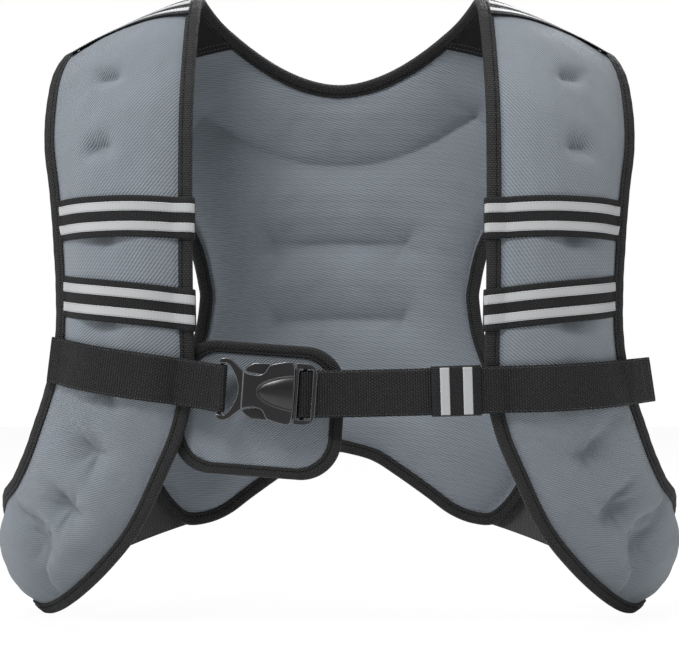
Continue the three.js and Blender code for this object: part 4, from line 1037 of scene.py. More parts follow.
PALE_THREAD = cloth(
    "grey thread",
    THREAD_GREY,
    WEAVE,
    YARN,
    roughness=0.6,
    sheen=0.1,
    bump=0.4,
    height=0.0001,
    contrast=0.3,
    edge_wear_and_highlight=0.3,
)
GREY_THREAD = cloth(
    "panel thread",
    THREAD_PANEL,
    WEAVE,
    YARN,
    roughness=0.6,
    sheen=0.1,
    bump=0.4,
    height=0.0001,
    contrast=0.3,
    edge_wear_and_highlight=0.3,
)
PLASTIC = moulded("buckle plastic", (0.011, 0.011, 0.0125), roughness=0.3, shine=0.3)
# The rounded edges: a paler colour, which is a painted highlight, on a smoother and shinier surface.
PLASTIC_EDGE_HIGHLIGHT = moulded("buckle plastic edge highlight", (0.075, 0.075, 0.08), roughness=0.16, shine=1.0)
print("materials:", len(bpy.data.materials))

# %% [markdown]
# The padded front panels. On the real vest two neoprene skins are sewn together round the edge, and the
# filling is poured in between them before the tacks are sewn.

# %% Front panels


def front_panel():
    u = np.linspace(0.0006, 1.0, FRONT_ROWS_MADE)[:, None]
    ease = np.linspace(0, 1, FRONT_COLUMNS_MADE)
    v = (ease - 0.035 * np.sin(math.tau * ease))[None, :]
    u, v = np.broadcast_arrays(u, v)
    flat = np.stack([v * front_width(u), u * FLAT_LENGTH], axis=-1)
    return slab("front_panel_right_cloth", front_point(u, v, 1), front_point(u, v, -1), flat)


panels = pair(front_panel(), NEOPRENE, "neoprene", "front_panel")
print("front panel:", len(panels[0].data.polygons), "faces")

# %% [markdown]
# The back panel is a half pattern and its mirror image, joined down the middle. Its rows fan out from
# the neckline, run straight across the waist and follow the hem into the two lower lobes.

# %% Back panel


def back_rows():
    """Rows of pattern points of the right half, from the neckline or the middle to the arm hole."""
    v = np.linspace(0, 1, BACK_COLUMNS_MADE)[None, :]
    waist = WAIST_AT * BACK_LENGTH
    inner = neck_edge(np.linspace(1, 0, NECK_ROWS_MADE))
    target = np.maximum(inner[:, 1], 0) * ROW_FAN
    outer = np.stack([arm_x(target), target], axis=-1)
    neck = inner[:, None] + (outer - inner)[:, None] * v[..., None]
    share = np.linspace(0, 1, MIDDLE_ROWS_MADE)[1:]
    inner = np.stack([np.zeros(len(share)), mix(NECK_DIP, waist, share)], axis=-1)
    target = mix(NECK_DIP * ROW_FAN, waist, share)
    outer = np.stack([arm_x(target), target], axis=-1)
    middle = inner[:, None] + (outer - inner)[:, None] * v[..., None]
    share = np.linspace(0, 1, LOBE_ROWS_MADE)[1:][:, None]
    hem = hem_edge(v[0])
    side_w = mix(waist, CORNER_AT * BACK_LENGTH, share)
    bulge = arm_x(side_w) - mix(WAIST_HALF, LOBE_HALF, share)
    x = mix(v * WAIST_HALF, hem[None, :, 0], share) + v * bulge
    w = mix(waist, hem[None, :, 1], share) + v * 0
    lower = np.stack([x, w], axis=-1)
    return np.concatenate([neck, middle, lower])


def back_panel():
    rows = back_rows()
    x, w = rows[..., 0], rows[..., 1]
    front, rear = back_point(x, w, -1), back_point(x, w, 1)
    half = slab("back_panel_cloth", front, rear, rows)
    work = bmesh.new()
    work.from_mesh(half.data)
    middle = [f for f in work.faces if all(abs(v.co.x) < 2e-5 for v in f.verts)]
    bmesh.ops.delete(work, geom=middle, context="FACES")
    copied = bmesh.ops.duplicate(work, geom=work.verts[:] + work.edges[:] + work.faces[:])
    uv = work.loops.layers.uv["flat"]
    for item in copied["geom"]:
        if isinstance(item, bmesh.types.BMVert):
            item.co.x = -item.co.x
        if isinstance(item, bmesh.types.BMFace):
            for loop in item.loops:
                loop[uv].uv.x = -loop[uv].uv.x
    bmesh.ops.remove_doubles(work, verts=work.verts, dist=1e-5)
    bmesh.ops.recalc_face_normals(work, faces=work.faces)
    work.to_mesh(half.data)
    work.free()
    return half


back = finished(back_panel(), BACK_CLOTH, "neoprene", "back_panel")
print("back panel:", len(back.data.polygons), "faces")

# %% [markdown]
# The binding tape is folded round each edge and sewn through, so in section it is a long U. It is swept
# along the edge with that section. The section's rim is rounded, as woven tape is.

# %% Bindings


SEAM_AT = LIP - 3.4  # line of stitches on the tape, from the sewn edge
TAPE_STEP = 1.6  # distance between sections of the tape


def tape_section():
    """Outline of the folded tape: out over one face, round the edge, back over the other, and inside."""
    out, inside = EDGE / 2 + GAP + TAPE, EDGE / 2 + GAP * 0.4
    bend = [math.radians(a) for a in (90, 112, 135, 158, 180, 202, 225, 248, 270)]
    outer = [(-TAPE + 2.6 + 2.6 * math.cos(a), (out - 0.3) * math.sin(a)) for a in bend]
    over = [(LIP, out - 1.0), (LIP - 0.6, out - 0.35), (LIP - 2.0, out - 0.2), (SEAM_AT + 0.7, out - 0.35)]
    over += [(SEAM_AT, out - 0.85), (SEAM_AT - 0.8, out - 0.2), (SEAM_AT - 2.2, out)]
    under = [(a, -b) for a, b in reversed(over)]
    outer = over + outer + under
    inner = [(LIP, -inside), (1.0, -inside), (0.2, 0.0), (1.0, inside), (LIP, inside)]
    return np.array(outer + inner)


def front_edge_path(side, places):
    here, along, across, n = front_frame(places, 0.0 if side == "in" else 1.0)
    inward = unit(np.cross(n, along))
    turn = np.sign(np.sum(inward * across, axis=-1, keepdims=True)) * (1 if side == "in" else -1)
    return here, inward * turn, n


def back_edge_path(pattern, inward):
    here, _, _, n = back_frame(pattern[:, 0], pattern[:, 1])
    along = np.gradient(back_sheet(pattern[:, 0], pattern[:, 1]), axis=0)
    return here, unit(np.cross(n, along)) * inward, n


def whole(half):
    """A path and its directions carried on over the middle plane to the other side."""
    return [np.concatenate([a, mirror(a[:-1])[::-1]]) for a in half]


def joined(first, second):
    return [np.concatenate([a, b]) for a, b in zip(first, second)]


def bind(name, path, step=TAPE_STEP, soften=6):
    """The tape along an edge's path, and that path with its directions, for the stitches."""
    here, inward, n = even_path(path[0], path[1:], step, soften)
    along = unit(np.gradient(here, axis=0))
    inward = unit(inward - part_along(inward, along))
    n = unit(n - part_along(n, along) - part_along(n, inward))
    travelled = np.arange(len(here)) * step
    puffed = 1 + 0.035 * np.sin(travelled / 6.1) + 0.03 * np.sin(travelled / 2.3 + 1)
    section = tape_section()
    obj = sweep(name, section, here, inward, n * puffed[:, None])
    return obj, (here, inward, n)


neck_path = whole(
    joined(
        front_edge_path("in", np.linspace(0.988, 0.012, 420)),
        back_edge_path(neck_edge(np.linspace(0.985, 0, 120)), -1),
    )
)
arm_path = joined(
    front_edge_path("out", np.linspace(0.965, 0.012, 360)),
    back_edge_path(arm_edge(np.linspace(0.02, 0.96, 260)), 1),
)
hem_path = whole(back_edge_path(hem_edge(np.linspace(0.985, 0, 200)), 1))

neck_tape, neck_frames = bind("neck_binding_tape", neck_path)
arm_tape, arm_frames = bind("arm_binding_right_tape", arm_path)
hem_tape, hem_frames = bind("hem_binding_tape", hem_path)
finished(neck_tape, TAPE_CLOTH, "binding_tape", "neck_binding")
finished(hem_tape, TAPE_CLOTH, "binding_tape", "hem_binding")
pair(arm_tape, TAPE_CLOTH, "binding_tape", "arm_binding")
print("tape along the neckline and fronts:", round(len(neck_frames[0]) * TAPE_STEP), "mm")

# %% [markdown]
# Stitches repeat along every seam, so they are made with Geometry Nodes: a line is cut at even
# distances, and a rounded stitch is laid along it at each cut. The node tree is built here with named
# inputs, run once, and its result is kept as a plain mesh.

# %% Stitches


def stitch_tree():
    tree = bpy.data.node_groups.new("Row of stitches", "GeometryNodeTree")
    face = tree.interface
    face.new_socket("Geometry", in_out="INPUT", socket_type="NodeSocketGeometry")
    for name, value in (("Spacing", 0.0034), ("Length", 0.0025), ("Thickness", 0.0006)):
        face.new_socket(name, in_out="INPUT", socket_type="NodeSocketFloat").default_value = value
    face.new_socket("Thread", in_out="INPUT", socket_type="NodeSocketMaterial")
    face.new_socket("Geometry", in_out="OUTPUT", socket_type="NodeSocketGeometry")
    given, out = tree.nodes.new("NodeGroupInput"), tree.nodes.new("NodeGroupOutput")
    line = add_node(tree, "GeometryNodeMeshToCurve", {"Mesh": given.outputs["Geometry"]})
    cuts = add_node(tree, "GeometryNodeResampleCurve", {"Curve": line.outputs["Curve"]}, mode="LENGTH")
    tree.links.new(given.outputs["Spacing"], cuts.inputs["Length"])
    tangent = add_node(tree, "GeometryNodeInputTangent")
    facing = {"Vector": tangent.outputs["Tangent"]}
    turn = add_node(tree, "FunctionNodeAlignRotationToVector", facing, axis="X")
    bead = add_node(tree, "GeometryNodeMeshUVSphere", {"Segments": 5, "Rings": 3, "Radius": 0.5})
    long, thick = given.outputs["Length"], given.outputs["Thickness"]
    size = add_node(tree, "ShaderNodeCombineXYZ", {0: long, 1: thick, 2: thick})
    placed = add_node(
        tree,
        "GeometryNodeInstanceOnPoints",
        {
            "Points": cuts.outputs["Curve"],
            "Instance": bead.outputs["Mesh"],
            "Rotation": turn.outputs["Rotation"],
            "Scale": size.outputs["Vector"],
        },
    )
    real = add_node(tree, "GeometryNodeRealizeInstances", {"Geometry": placed.outputs["Instances"]})
    soft = add_node(tree, "GeometryNodeSetShadeSmooth", {0: real.outputs["Geometry"]})
    dressed = add_node(tree, "GeometryNodeSetMaterial", {"Geometry": soft.outputs[0]})
    tree.links.new(given.outputs["Thread"], dressed.inputs["Material"])
    tree.links.new(dressed.outputs["Geometry"], out.inputs["Geometry"])
    return tree


STITCHES = stitch_tree()


def stitches(name, lines, slot, thread, spacing=3.4, length=2.5, thickness=0.6):
    """Rows of stitches along lines of points in millimetres, as one plain mesh."""
    points = np.concatenate(lines) * MM
    edges = []
    start = 0
    for line in lines:
        edges += [(start + i, start + i + 1) for i in range(len(line) - 1)]
        start += len(line)
    mesh = bpy.data.meshes.new(name + " lines")
    mesh.from_pydata(points.tolist(), edges, [])
    guide = bpy.data.objects.new(name + " lines", mesh)
    bpy.context.scene.collection.objects.link(guide)
    modifier = guide.modifiers.new("Row of stitches", "NODES")
    modifier.node_group = STITCHES
    chosen = {"Spacing": spacing * MM, "Length": length * MM, "Thickness": thickness * MM, "Thread": thread}
    for item in STITCHES.interface.items_tree:
        if item.in_out == "INPUT" and item.name in chosen:
            modifier[item.identifier] = chosen[item.name]
    bpy.context.view_layer.update()
    made = bpy.data.meshes.new_from_object(guide.evaluated_get(bpy.context.evaluated_depsgraph_get()))
    bpy.data.objects.remove(guide)
    made.name = name
    if "flat" not in made.uv_layers:
        made.uv_layers.new(name="flat")
    obj = bpy.data.objects.new(name, made)
    bpy.context.scene.collection.objects.link(obj)
    return finished(obj, thread, slot)


def twin_stitches(name, rows, *how):
    """The same rows of stitches on the right side and, mirrored, on the left."""
    stitches(f"{name}_right", rows, *how)
    stitches(f"{name}_left", [mirror(row) for row in rows], *how)


TAPE_TOP = EDGE / 2 + GAP + TAPE
TAPE_STITCH = ("binding_tape", THREAD, 3.2, 2.8, 1.1)


def tape_seams(frames):
    here, inward, n = frames
    return [here + inward * SEAM_AT + n * side * (TAPE_TOP - 0.75) for side in (1, -1)]


stitches("neck_stitches", tape_seams(neck_frames), *TAPE_STITCH)
stitches("hem_stitches", tape_seams(hem_frames), *TAPE_STITCH)
twin_stitches("arm_stitches", tape_seams(arm_frames), *TAPE_STITCH)


def channel_rows(face):
    rows = []
    for half, at, sag in CHANNELS:
        line = channel_line(half * 0.985, at, sag, 120)
        rows.append(back_point(line[:, 0], line[:, 1], face, -0.1))
    return rows


stitches("channel_stitches", channel_rows(-1) + channel_rows(1), "neoprene", GREY_THREAD, 3.0, 2.3, 0.5)


def tack_rows():
    rows = []
    for values in TACKS:
        tack = dict(zip(TACK_COLUMNS, values))
        half = (tack["half"] + 1.5) / float(front_width(np.array(tack["at"])))
        v = np.linspace(tack["across"] - half, tack["across"] + half, 12)
        for offset in (-0.0012, 0.0012):
            rows.append(front_point(np.full(12, tack["at"] + offset), v, 1, -0.1))
    return rows


twin_stitches("tack_stitches", tack_rows(), "neoprene", GREY_THREAD, 1.5, 1.3, 0.5)
print("stitch rows made")

# %% [markdown]
# The elastic bands start under the arm hole's tape, lie over the panel and turn round its other edge.
# Two reflective tapes are sewn along each. Each band stands a little proud, so the panel's light and
# shade show below it.

# %% Bands and their reflective stripes


def over_panel(u, v, face=1):
    share = FRONT_OUT if face > 0 else 1 - FRONT_OUT
    filled = share * FRONT_PUFF * front_fill(u, v)
    beyond = np.minimum(v, 1 - v) * front_width(u)
    taped = (GAP + TAPE) * (1 - smooth(LIP + FLAT, LIP + 4 * FLAT, beyond))
    return EDGE / 2 + np.maximum(filled, taped) + GAP


def shoulder_band_path(at):
    """The highest band goes under the tape on both sides, and lies aslant."""
    width = float(front_width(np.array(at)))
    v = np.linspace(1 - (LIP - 1) / width, (LIP - 2) / width, 70)
    here, along, _, n = front_frame(at - SHOULDER_SLANT * v, v)
    height = EDGE / 2 + FRONT_OUT * FRONT_PUFF * front_fill(at - SHOULDER_SLANT * v, v) + GAP
    return even_path(here + n * height[:, None], (along, n), 1.5, 4)


def band_path(at):
    """The band's under side: its points, its direction down the panel, and its outward direction."""
    width = float(front_width(np.array(at)))
    start, end = 1 - (LIP - 2) / width, FLAT / width
    half = EDGE / 2 + TAPE + 2 * GAP + BAND_LIFT
    v_front = np.linspace(start, end, 60)
    angles = np.radians(np.linspace(12, 168, 14))
    v_turn = -np.sin(angles) * 2 * TAPE / width
    v_back = np.linspace(end, BAND_RETURN, 22)
    v = np.concatenate([v_front, v_turn, v_back])
    at_all = np.full(len(v), at)
    height = np.concatenate(
        [
            mix(
                EDGE / 2 + FRONT_OUT * FRONT_PUFF * front_fill(at_all[:60], v_front) + 0.1,
                over_panel(at_all[:60], v_front) + BAND_LIFT + 0.25 * np.sin(v_front * 19 + at * 50),
                smooth(start, start - 4 * LIP / width, v_front),
            ),
            np.cos(angles) * half,
            -over_panel(at_all[:22], v_back, -1) - BAND_LIFT / 2,
        ]
    )
    turn = np.concatenate([np.zeros(60), angles, np.full(22, math.pi)])[:, None]
    here, along, across, n = front_frame(at_all, v)
    out = n * np.cos(turn) - across * np.sin(turn)
    return even_path(here + n * height[:, None], (along, out), 1.5, 4)


def make_band(name, at):
    shoulder = name == "shoulder_band"
    path, along, out = shoulder_band_path(at) if shoulder else band_path(at)
    across, _ = square_to(path, along)
    lifted = path + out * BAND_THICK / 2
    band = ribbon(f"{name}_right_elastic", lifted, across, out, BAND_WIDTH, BAND_THICK, 19)
    pair(band, ELASTIC, "band_elastic", name)
    shown = slice(0, len(path) if shoulder else int(len(path) * 0.8))
    edges = []
    for row, sideways in (("top", -STRIP_OFFSET), ("low", STRIP_OFFSET)):
        line = path + across * sideways + out * (BAND_THICK + STRIP_THICK / 2 + 0.02)
        line, wide, high = line[shown], across[shown], out[shown]
        stripe = f"{name}_{row}_stripe"
        tape = ribbon(f"{stripe}_right_tape", line, wide, high, STRIP_WIDTH, STRIP_THICK, 7)
        pair(tape, REFLECTIVE, "reflective_tape", stripe)
        for side in (-1, 1):
            inset = side * (STRIP_WIDTH / 2 - 0.9)
            edges.append(line + wide * inset + high * (STRIP_THICK / 2))
    twin_stitches(f"{name}_stitches", edges, "reflective_tape", PALE_THREAD, 2.6, 1.9, 0.35)
    return len(path)


print("bands:", {name: make_band(name, at) for name, at in BANDS.items()})

# %% [markdown]
# A black facing covers the seam inside each shoulder, and a wide ribbed elastic joins each lobe of the
# back to the lower end of the front panel. Both are plain cloth sheets of known cut.

# %% Facings and side elastics


def facing():
    margin = LIP - 0.6
    w = np.linspace(3, FACING_LENGTH, 60)[:, None]
    reach = NECK_HALF * (1 - (w / NECK_DIP) ** NECK_SHARP) ** (1 / NECK_SHARP)
    s = np.linspace(0, 1, 70)[None]
    x = mix(reach + margin, arm_x(w) - margin, s)
    w = w + 0 * s
    flat = np.stack([x, w], axis=-1)
    low, high = back_point(x, w, -1, GAP), back_point(x, w, -1, GAP + FACING_THICK)
    return slab("shoulder_facing_right_cloth", low, high, flat), x, w


def cut_size(obj):
    """Width, length and area of a sheet laid flat, in metres, from its UV map and its faces."""
    uv = np.zeros(len(obj.data.loops) * 2, np.float32)
    obj.data.uv_layers["flat"].data.foreach_get("uv", uv)
    span = np.ptp(uv.reshape(-1, 2), axis=0)
    return (float(span[0]), float(span[1])), sum(p.area for p in obj.data.polygons) / 2


facing_right, facing_x, facing_w = facing()
facings = pair(facing_right, FACING, "facing_cloth", "shoulder_facing")
flat, area = cut_size(facing_right)
area = min(area, flat[0] * flat[1])
facing_rows = [back_point(facing_x[k], facing_w[k], -1, GAP + FACING_THICK) for k in (3, 52, 56)]
twin_stitches("facing_stitches", facing_rows, "facing_cloth", PALE_THREAD, 3.2, 2.4, 0.5)


def side_elastic():
    lobe = np.stack([hem_edge(0.7), arm_edge(0.9)])
    here, _, _, n = back_frame(lobe[:, 0], lobe[:, 1])
    on_lobe = here + n * (EDGE / 2 + TAPE + 2 * GAP + SIDE_BAND_THICK / 2)
    on_front = front_point(np.array([0.9, 0.97]), np.array([0.16, 0.86]), -1, GAP + SIDE_BAND_THICK, False)
    t = np.linspace(0, 1, 110)[:, None, None]
    s = np.linspace(0, 1, 60)[None, :, None]
    start = mix(on_lobe[0], on_lobe[1], s)
    end = mix(on_front[0], on_front[1], s)
    bend = mix(start, end, 0.5) + np.array(SIDE_PULL)
    sheet = (1 - t) ** 2 * start + 2 * t * (1 - t) * bend + t**2 * end
    normal = unit(np.cross(np.gradient(sheet, axis=0), np.gradient(sheet, axis=1)))
    ruffle = 0.35 * np.sin(s * 30 + t * 3) * np.sin(math.pi * t) ** 0.5
    sheet = sheet + normal * ruffle
    length = np.linalg.norm(np.diff(sheet[:, 30], axis=0), axis=1).sum()
    width = np.linalg.norm(np.diff(sheet[55], axis=0), axis=1).sum()
    flat = np.concatenate(np.broadcast_arrays(t * length, s * width), axis=-1)
    half = normal * SIDE_BAND_THICK / 2
    return slab("side_connector_right_elastic", sheet + half, sheet - half, flat)


sides = pair(side_elastic(), SIDE_CLOTH, "side_elastic", "side_connector")
flat, area = cut_size(sides[0])
area = min(area, flat[0] * flat[1])
print("side elastic, flat:", [round(x, 3) for x in flat], "area", round(area, 4))

# %% [markdown]
# The webbing comes from one end, turns round its bar of the buckle, and goes back on itself. Its path is
# one line of points, and the webbing is a flat band along it with slightly rounded edges.

# %% Chest strap


def on_buckle(x, y, z):
    """A place in the buckle's own frame (x along the strap, y up, z forward) in the vest's frame."""
    c, s = math.cos(BUCKLE_TURN), math.sin(BUCKLE_TURN)
    x, y, z = (np.asarray(a, float) for a in (x, y, z))
    return points_of(x * c + y * s, -z, y * c - x * s) + np.array(BUCKLE_PLACE)


def strap_bar(side):
    along, forward = (FAR_BAR, 0) if side < 0 else (NEAR_BAR, -BAR_BACK)
    return on_buckle(along * BUCKLE_LENGTH, 0, forward) * np.array([side, 1, 1])


def strap_level(side, x):
    bar = strap_bar(side)
    share = np.maximum(0, (x - bar[0]) / (SEAM_HALF - bar[0]))
    return bar[2] + STRAP_RISE[side] * (share if side < 0 else share**1.5)


def strap_over_panel(v, side, height):
    low, high = np.full(len(v), 0.39), np.full(len(v), 0.69)
    for _ in range(24):
        u = (low + high) / 2
        here = front_middle(u, v)
        above = here[:, 2] > strap_level(side, here[:, 0])
        low, high = np.where(above, u, low), np.where(above, high, u)
    here, along, _, n = front_frame(low, v)
    return here + n * (over_panel(low, v) + STRAP_LIFT + height)[:, None], -along


FOLD_REACH = BAR * BAR_CORNER + GAP + WEB_THICK / 2


def strap_layer(side, layer, end):
    """One layer of the strap from the buckle outwards, with its upward direction."""
    height = WEB_THICK / 2 + layer * (WEB_THICK + GAP)
    over, up = strap_over_panel(np.linspace(0.02, end, 50), side, height)
    bar = strap_bar(side)
    beside = bar + np.array([0, -FOLD_REACH if layer else FOLD_REACH, 0])
    start = bar + np.array([0, 1 - layer * (WEB_THICK + GAP), 0])
    lean = np.array([side * math.sin(BUCKLE_TURN), 0, math.cos(BUCKLE_TURN)])
    free = []
    for t in (0.28, 0.6):
        here = mix(start, over[0], t)
        here[2] = strap_level(side, here[0])
        free.append(here)
    path = np.concatenate([[beside], free, over])
    ups = np.concatenate([[lean], [mix(lean, up[0], t) for t in (0.28, 0.6)], up])
    return path, ups


def strap_path(side, under_end, over_end, tail):
    under, under_up = strap_layer(side, 0, under_end)
    over, over_up = strap_layer(side, 1, over_end)
    bar = strap_bar(side)
    angles = np.radians(np.arange(-75, 76, 15))
    turn = bar + np.stack([-FOLD_REACH * np.cos(angles), -FOLD_REACH * np.sin(angles), 0 * angles], axis=-1)
    turn_up = np.repeat(over_up[:1], len(angles), axis=0)
    path = np.concatenate([under[::-1], turn, over])
    up = np.concatenate([under_up[::-1], turn_up, over_up])
    if tail:
        onward = unit(over[-1] - over[-3])
        free = over[-1] + onward * np.linspace(2, tail, 20)[:, None]
        path = np.concatenate([path, free])
        up = np.concatenate([up, np.repeat(over_up[-1:], 20, axis=0)])
    path, up = even_path(path, (up,), 1.0, 3)
    across, out = square_to(path, up)
    return path, across, out


def selvedge_rows(path, across, out, inset=1.6):
    rows = []
    for side in (-1, 1):
        edge = path + across * side * (WEB_WIDTH / 2 - inset)
        rows += [edge + out * WEB_THICK / 2, edge - out * WEB_THICK / 2]
    return rows


right_frames = strap_path(1, 0.99, 0.86, TAIL)
left_frames = [mirror(values) for values in strap_path(-1, 0.6, 0.99, 0)]
straps = {"right": right_frames, "left": left_frames}
for name, frames in straps.items():
    webbing = ribbon(f"chest_strap_{name}_webbing", *frames, WEB_WIDTH, WEB_THICK, 13)
    finished(webbing, WEBBING, "webbing", f"chest_strap_{name}")
for name, frames in straps.items():
    stitches(f"strap_edge_{name}", selvedge_rows(*frames), "webbing", PALE_THREAD, 2.4, 1.2, 0.35)


def tail_fold():
    """The strap's free end, turned over once and sewn down behind."""
    path, across, out = (values[-22:-1] for values in right_frames)
    behind = path - out * (WEB_THICK + 0.1)
    fold = ribbon("strap_end_fold", behind, across, out, WEB_WIDTH - 0.4, WEB_THICK, 13)
    finished(fold, WEBBING, "webbing")
    s = np.linspace(-0.46, 0.46, 30)[:, None] * WEB_WIDTH
    face = path + out * (WEB_THICK / 2 + 0.05)
    rows = [face[k] + across[k] * s for k in (3, 16)]
    stitches("strap_end_stitches", rows, "webbing", PALE_THREAD, 2.4, 1.8, 0.5)


tail_fold()
print("strap, right half:", len(right_frames[0]), "mm of webbing")

# %% [markdown]
# The keeper is a ring of elastic round both layers of the strap, with two reflective stripes.

# %% Keeper

KEEPER_ROOM = WEB_THICK + 1.5 * GAP
KEEPER_SPAN = WEB_WIDTH / 2 + GAP


def keeper_frame():
    layers = [strap_layer(1, layer, 1.0) for layer in (0, 1)]
    start, end = (mix(layers[0][0][i], layers[1][0][i], 0.5) for i in (2, 3))
    path = unit(end - start)
    here = mix(start, end, (KEEPER_X - start[0]) / (end[0] - start[0]))
    lean = layers[0][1][2]
    across = unit(lean - path * np.dot(lean, path))
    return here, path, across, np.cross(path, across)


def rounded_loop(half_wide, half_high, radius, count=8):
    """Points and outward directions round a rectangle with rounded corners."""
    points, outs = [], []
    for quarter, (sx, sy) in enumerate(((1, 1), (-1, 1), (-1, -1), (1, -1))):
        for t in np.linspace(0, 1, count):
            a = (quarter + t) * math.pi / 2
            x = sx * (half_wide - radius) + radius * math.cos(a)
            y = sy * (half_high - radius) + radius * math.sin(a)
            points.append((x, y))
            outs.append((math.cos(a), math.sin(a)))
    return np.array(points), np.array(outs)


def make_keeper():
    here, path, across, out = keeper_frame()
    loop, outward = rounded_loop(KEEPER_SPAN + BAND_THICK / 2, KEEPER_ROOM + BAND_THICK / 2, 1.9)
    ring = here + path * KEEPER_WIDTH / 2 + across * loop[:, :1] + out * loop[:, 1:]
    normal = across * outward[:, :1] + out * outward[:, 1:]
    sideways = np.repeat(path[None], len(ring), axis=0)
    half = np.array([-0.5, -0.25, 0, 0.25, 0.5]) * KEEPER_WIDTH
    section = np.array([(s, 0.5 * BAND_THICK) for s in half] + [(s, -0.5 * BAND_THICK) for s in half[::-1]])
    keeper = sweep("strap_keeper_elastic", section, ring, sideways, normal, closed=True)
    finished(keeper, ELASTIC, "band_elastic", "strap_keeper")
    for label, start in zip(("inner", "outer"), KEEPER_STRIPES):
        s = np.linspace(-1, 1, 30)[:, None] * (KEEPER_SPAN - 0.3)
        lift = KEEPER_ROOM + BAND_THICK + STRIP_THICK / 2
        line = here + path * (start + STRIP_WIDTH / 2) + out * lift + across * s
        wide, high = np.repeat(path[None], 30, axis=0), np.repeat(out[None], 30, axis=0)
        stripe = ribbon(f"keeper_stripe_{label}_tape", line, wide, high, STRIP_WIDTH, STRIP_THICK, 7)
        finished(stripe, REFLECTIVE, "reflective_tape", f"keeper_stripe_{label}")


make_keeper()
print("keeper made")

# %% [markdown]
# The buckle is moulded in two halves. Each is cut from plates of its own outline, as a mould tool is
# built up from flat cutters, and its edges are rounded afterwards.

# %% Buckle

SLOT = (WEB_WIDTH / 2 + 1.5) / BUCKLE_WIDTH
BAR_HALF = BAR / BUCKLE_LENGTH / 2
MOUTH = 0.285
PRONG_TOP = 0.385
PRONG_THICK = 4.5
HORN_THICK = 9
HORN_END = -0.235

# Upper halves of the outlines, as shares of the buckle's length from its middle and of its width
SOCKET_HALF = [
    (-0.485, 0.44),
    (-0.46, 0.478),
    (-0.41, 0.492),
    (-0.35, 0.455),
    (-0.3, 0.385),
    (-0.225, 0.29),
    (-0.16, 0.26),
    (-0.09, 0.258),
    (-0.03, 0.29),
    (0.0, 0.36),
    (0.03, 0.425),
    (0.11, 0.465),
    (0.2, 0.492),
    (0.25, 0.485),
    (0.272, 0.42),
    (0.285, 0.25),
]
CRESCENT_HALF = [
    (FAR_BAR + BAR_HALF, SLOT),
    (-0.405, SLOT),
    (-0.365, 0.35),
    (-0.33, 0.26),
    (-0.305, 0.18),
    (-0.288, 0.1),
    (-0.28, 0.02),
]
FRAME_HALF = [(MOUTH + 0.006, 0.485), (0.4, 0.485), (0.455, 0.46), (0.49, 0.41), (0.505, 0.33)]
ARMS_HALF = [
    (MOUTH + 0.03, PRONG_TOP),
    (0.03, PRONG_TOP),
    (0.02, 0.448),
    (-0.13, 0.442),
    (-0.2, 0.375),
    (-0.225, 0.325),
    (-0.2, 0.3),
    (-0.08, 0.275),
    (MOUTH - 0.02, 0.275),
    (MOUTH - 0.02, 0.07),
    (0.02, 0.05),
]
THUMB_HALF = [
    (-0.072, 0.012),
    (-0.066, 0.045),
    (-0.045, 0.085),
    (-0.01, 0.125),
    (0.04, 0.165),
    (0.1, 0.198),
    (0.18, 0.232),
    (0.275, 0.255),
]
THUMB_GROOVE = 0.9
THUMB_RISE = 2.2
SOCKET_ROUND = 0.65
PLUG_ROUND = 0.55


def box_half(start, end, half):
    return [(start, half), (end, half)]


def curved(half, between=3):
    """The same outline with points added between, so that it bends smoothly through each."""
    places = np.linspace(0, len(half) - 1, (len(half) - 1) * between + 1)
    columns = [column(half, ("a", "b"), key, places) for key in ("a", "b")]
    return list(zip(*(values.tolist() for values in columns)))


def plate(half, thick, forward=0.0):
    """A flat plate from half its outline, in shares of the buckle's size, as an object in its own frame."""
    outline = [(x * BUCKLE_LENGTH, y * BUCKLE_WIDTH) for x, y in half]
    outline += [(x, -y) for x, y in reversed(outline)]
    work = bmesh.new()
    low = [work.verts.new((x * MM, y * MM, (forward - thick / 2) * MM)) for x, y in outline]
    face = work.faces.new(low)
    raised = bmesh.ops.extrude_face_region(work, geom=[face])
    top = [v for v in raised["geom"] if isinstance(v, bmesh.types.BMVert)]
    bmesh.ops.translate(work, verts=top, vec=(0, 0, thick * MM))
    bmesh.ops.recalc_face_normals(work, faces=work.faces)
    mesh = bpy.data.meshes.new("plate")
    work.to_mesh(mesh)
    work.free()
    obj = bpy.data.objects.new("plate", mesh)
    bpy.context.scene.collection.objects.link(obj)
    return obj


def carve(body, tools, operation="DIFFERENCE"):
    for tool in tools:
        modifier = body.modifiers.new("cut", "BOOLEAN")
        modifier.object = tool
        modifier.operation = operation
        modifier.solver = "EXACT"
    settle(body)
    for tool in tools:
        bpy.data.objects.remove(tool)
    return body


def settle(obj):
    """Turns an object's modifiers into its plain mesh."""
    bpy.context.view_layer.update()
    done = bpy.data.meshes.new_from_object(obj.evaluated_get(bpy.context.evaluated_depsgraph_get()))
    obj.modifiers.clear()
    obj.data = done


def rounded(obj, radius):
    """Rounds a moulding's edges."""
    for material in (PLASTIC, PLASTIC_EDGE_HIGHLIGHT):
        obj.data.materials.append(material)
    bevel = obj.modifiers.new("edges", "BEVEL")
    bevel.width = radius * MM
    bevel.segments = 3
    # The rounded faces take the second material, with its painted highlight.
    bevel.material = 1
    bevel.use_clamp_overlap = False
    bevel.limit_method = "ANGLE"
    bevel.angle_limit = math.radians(35)
    bevel.harden_normals = False
    settle(obj)
    return obj


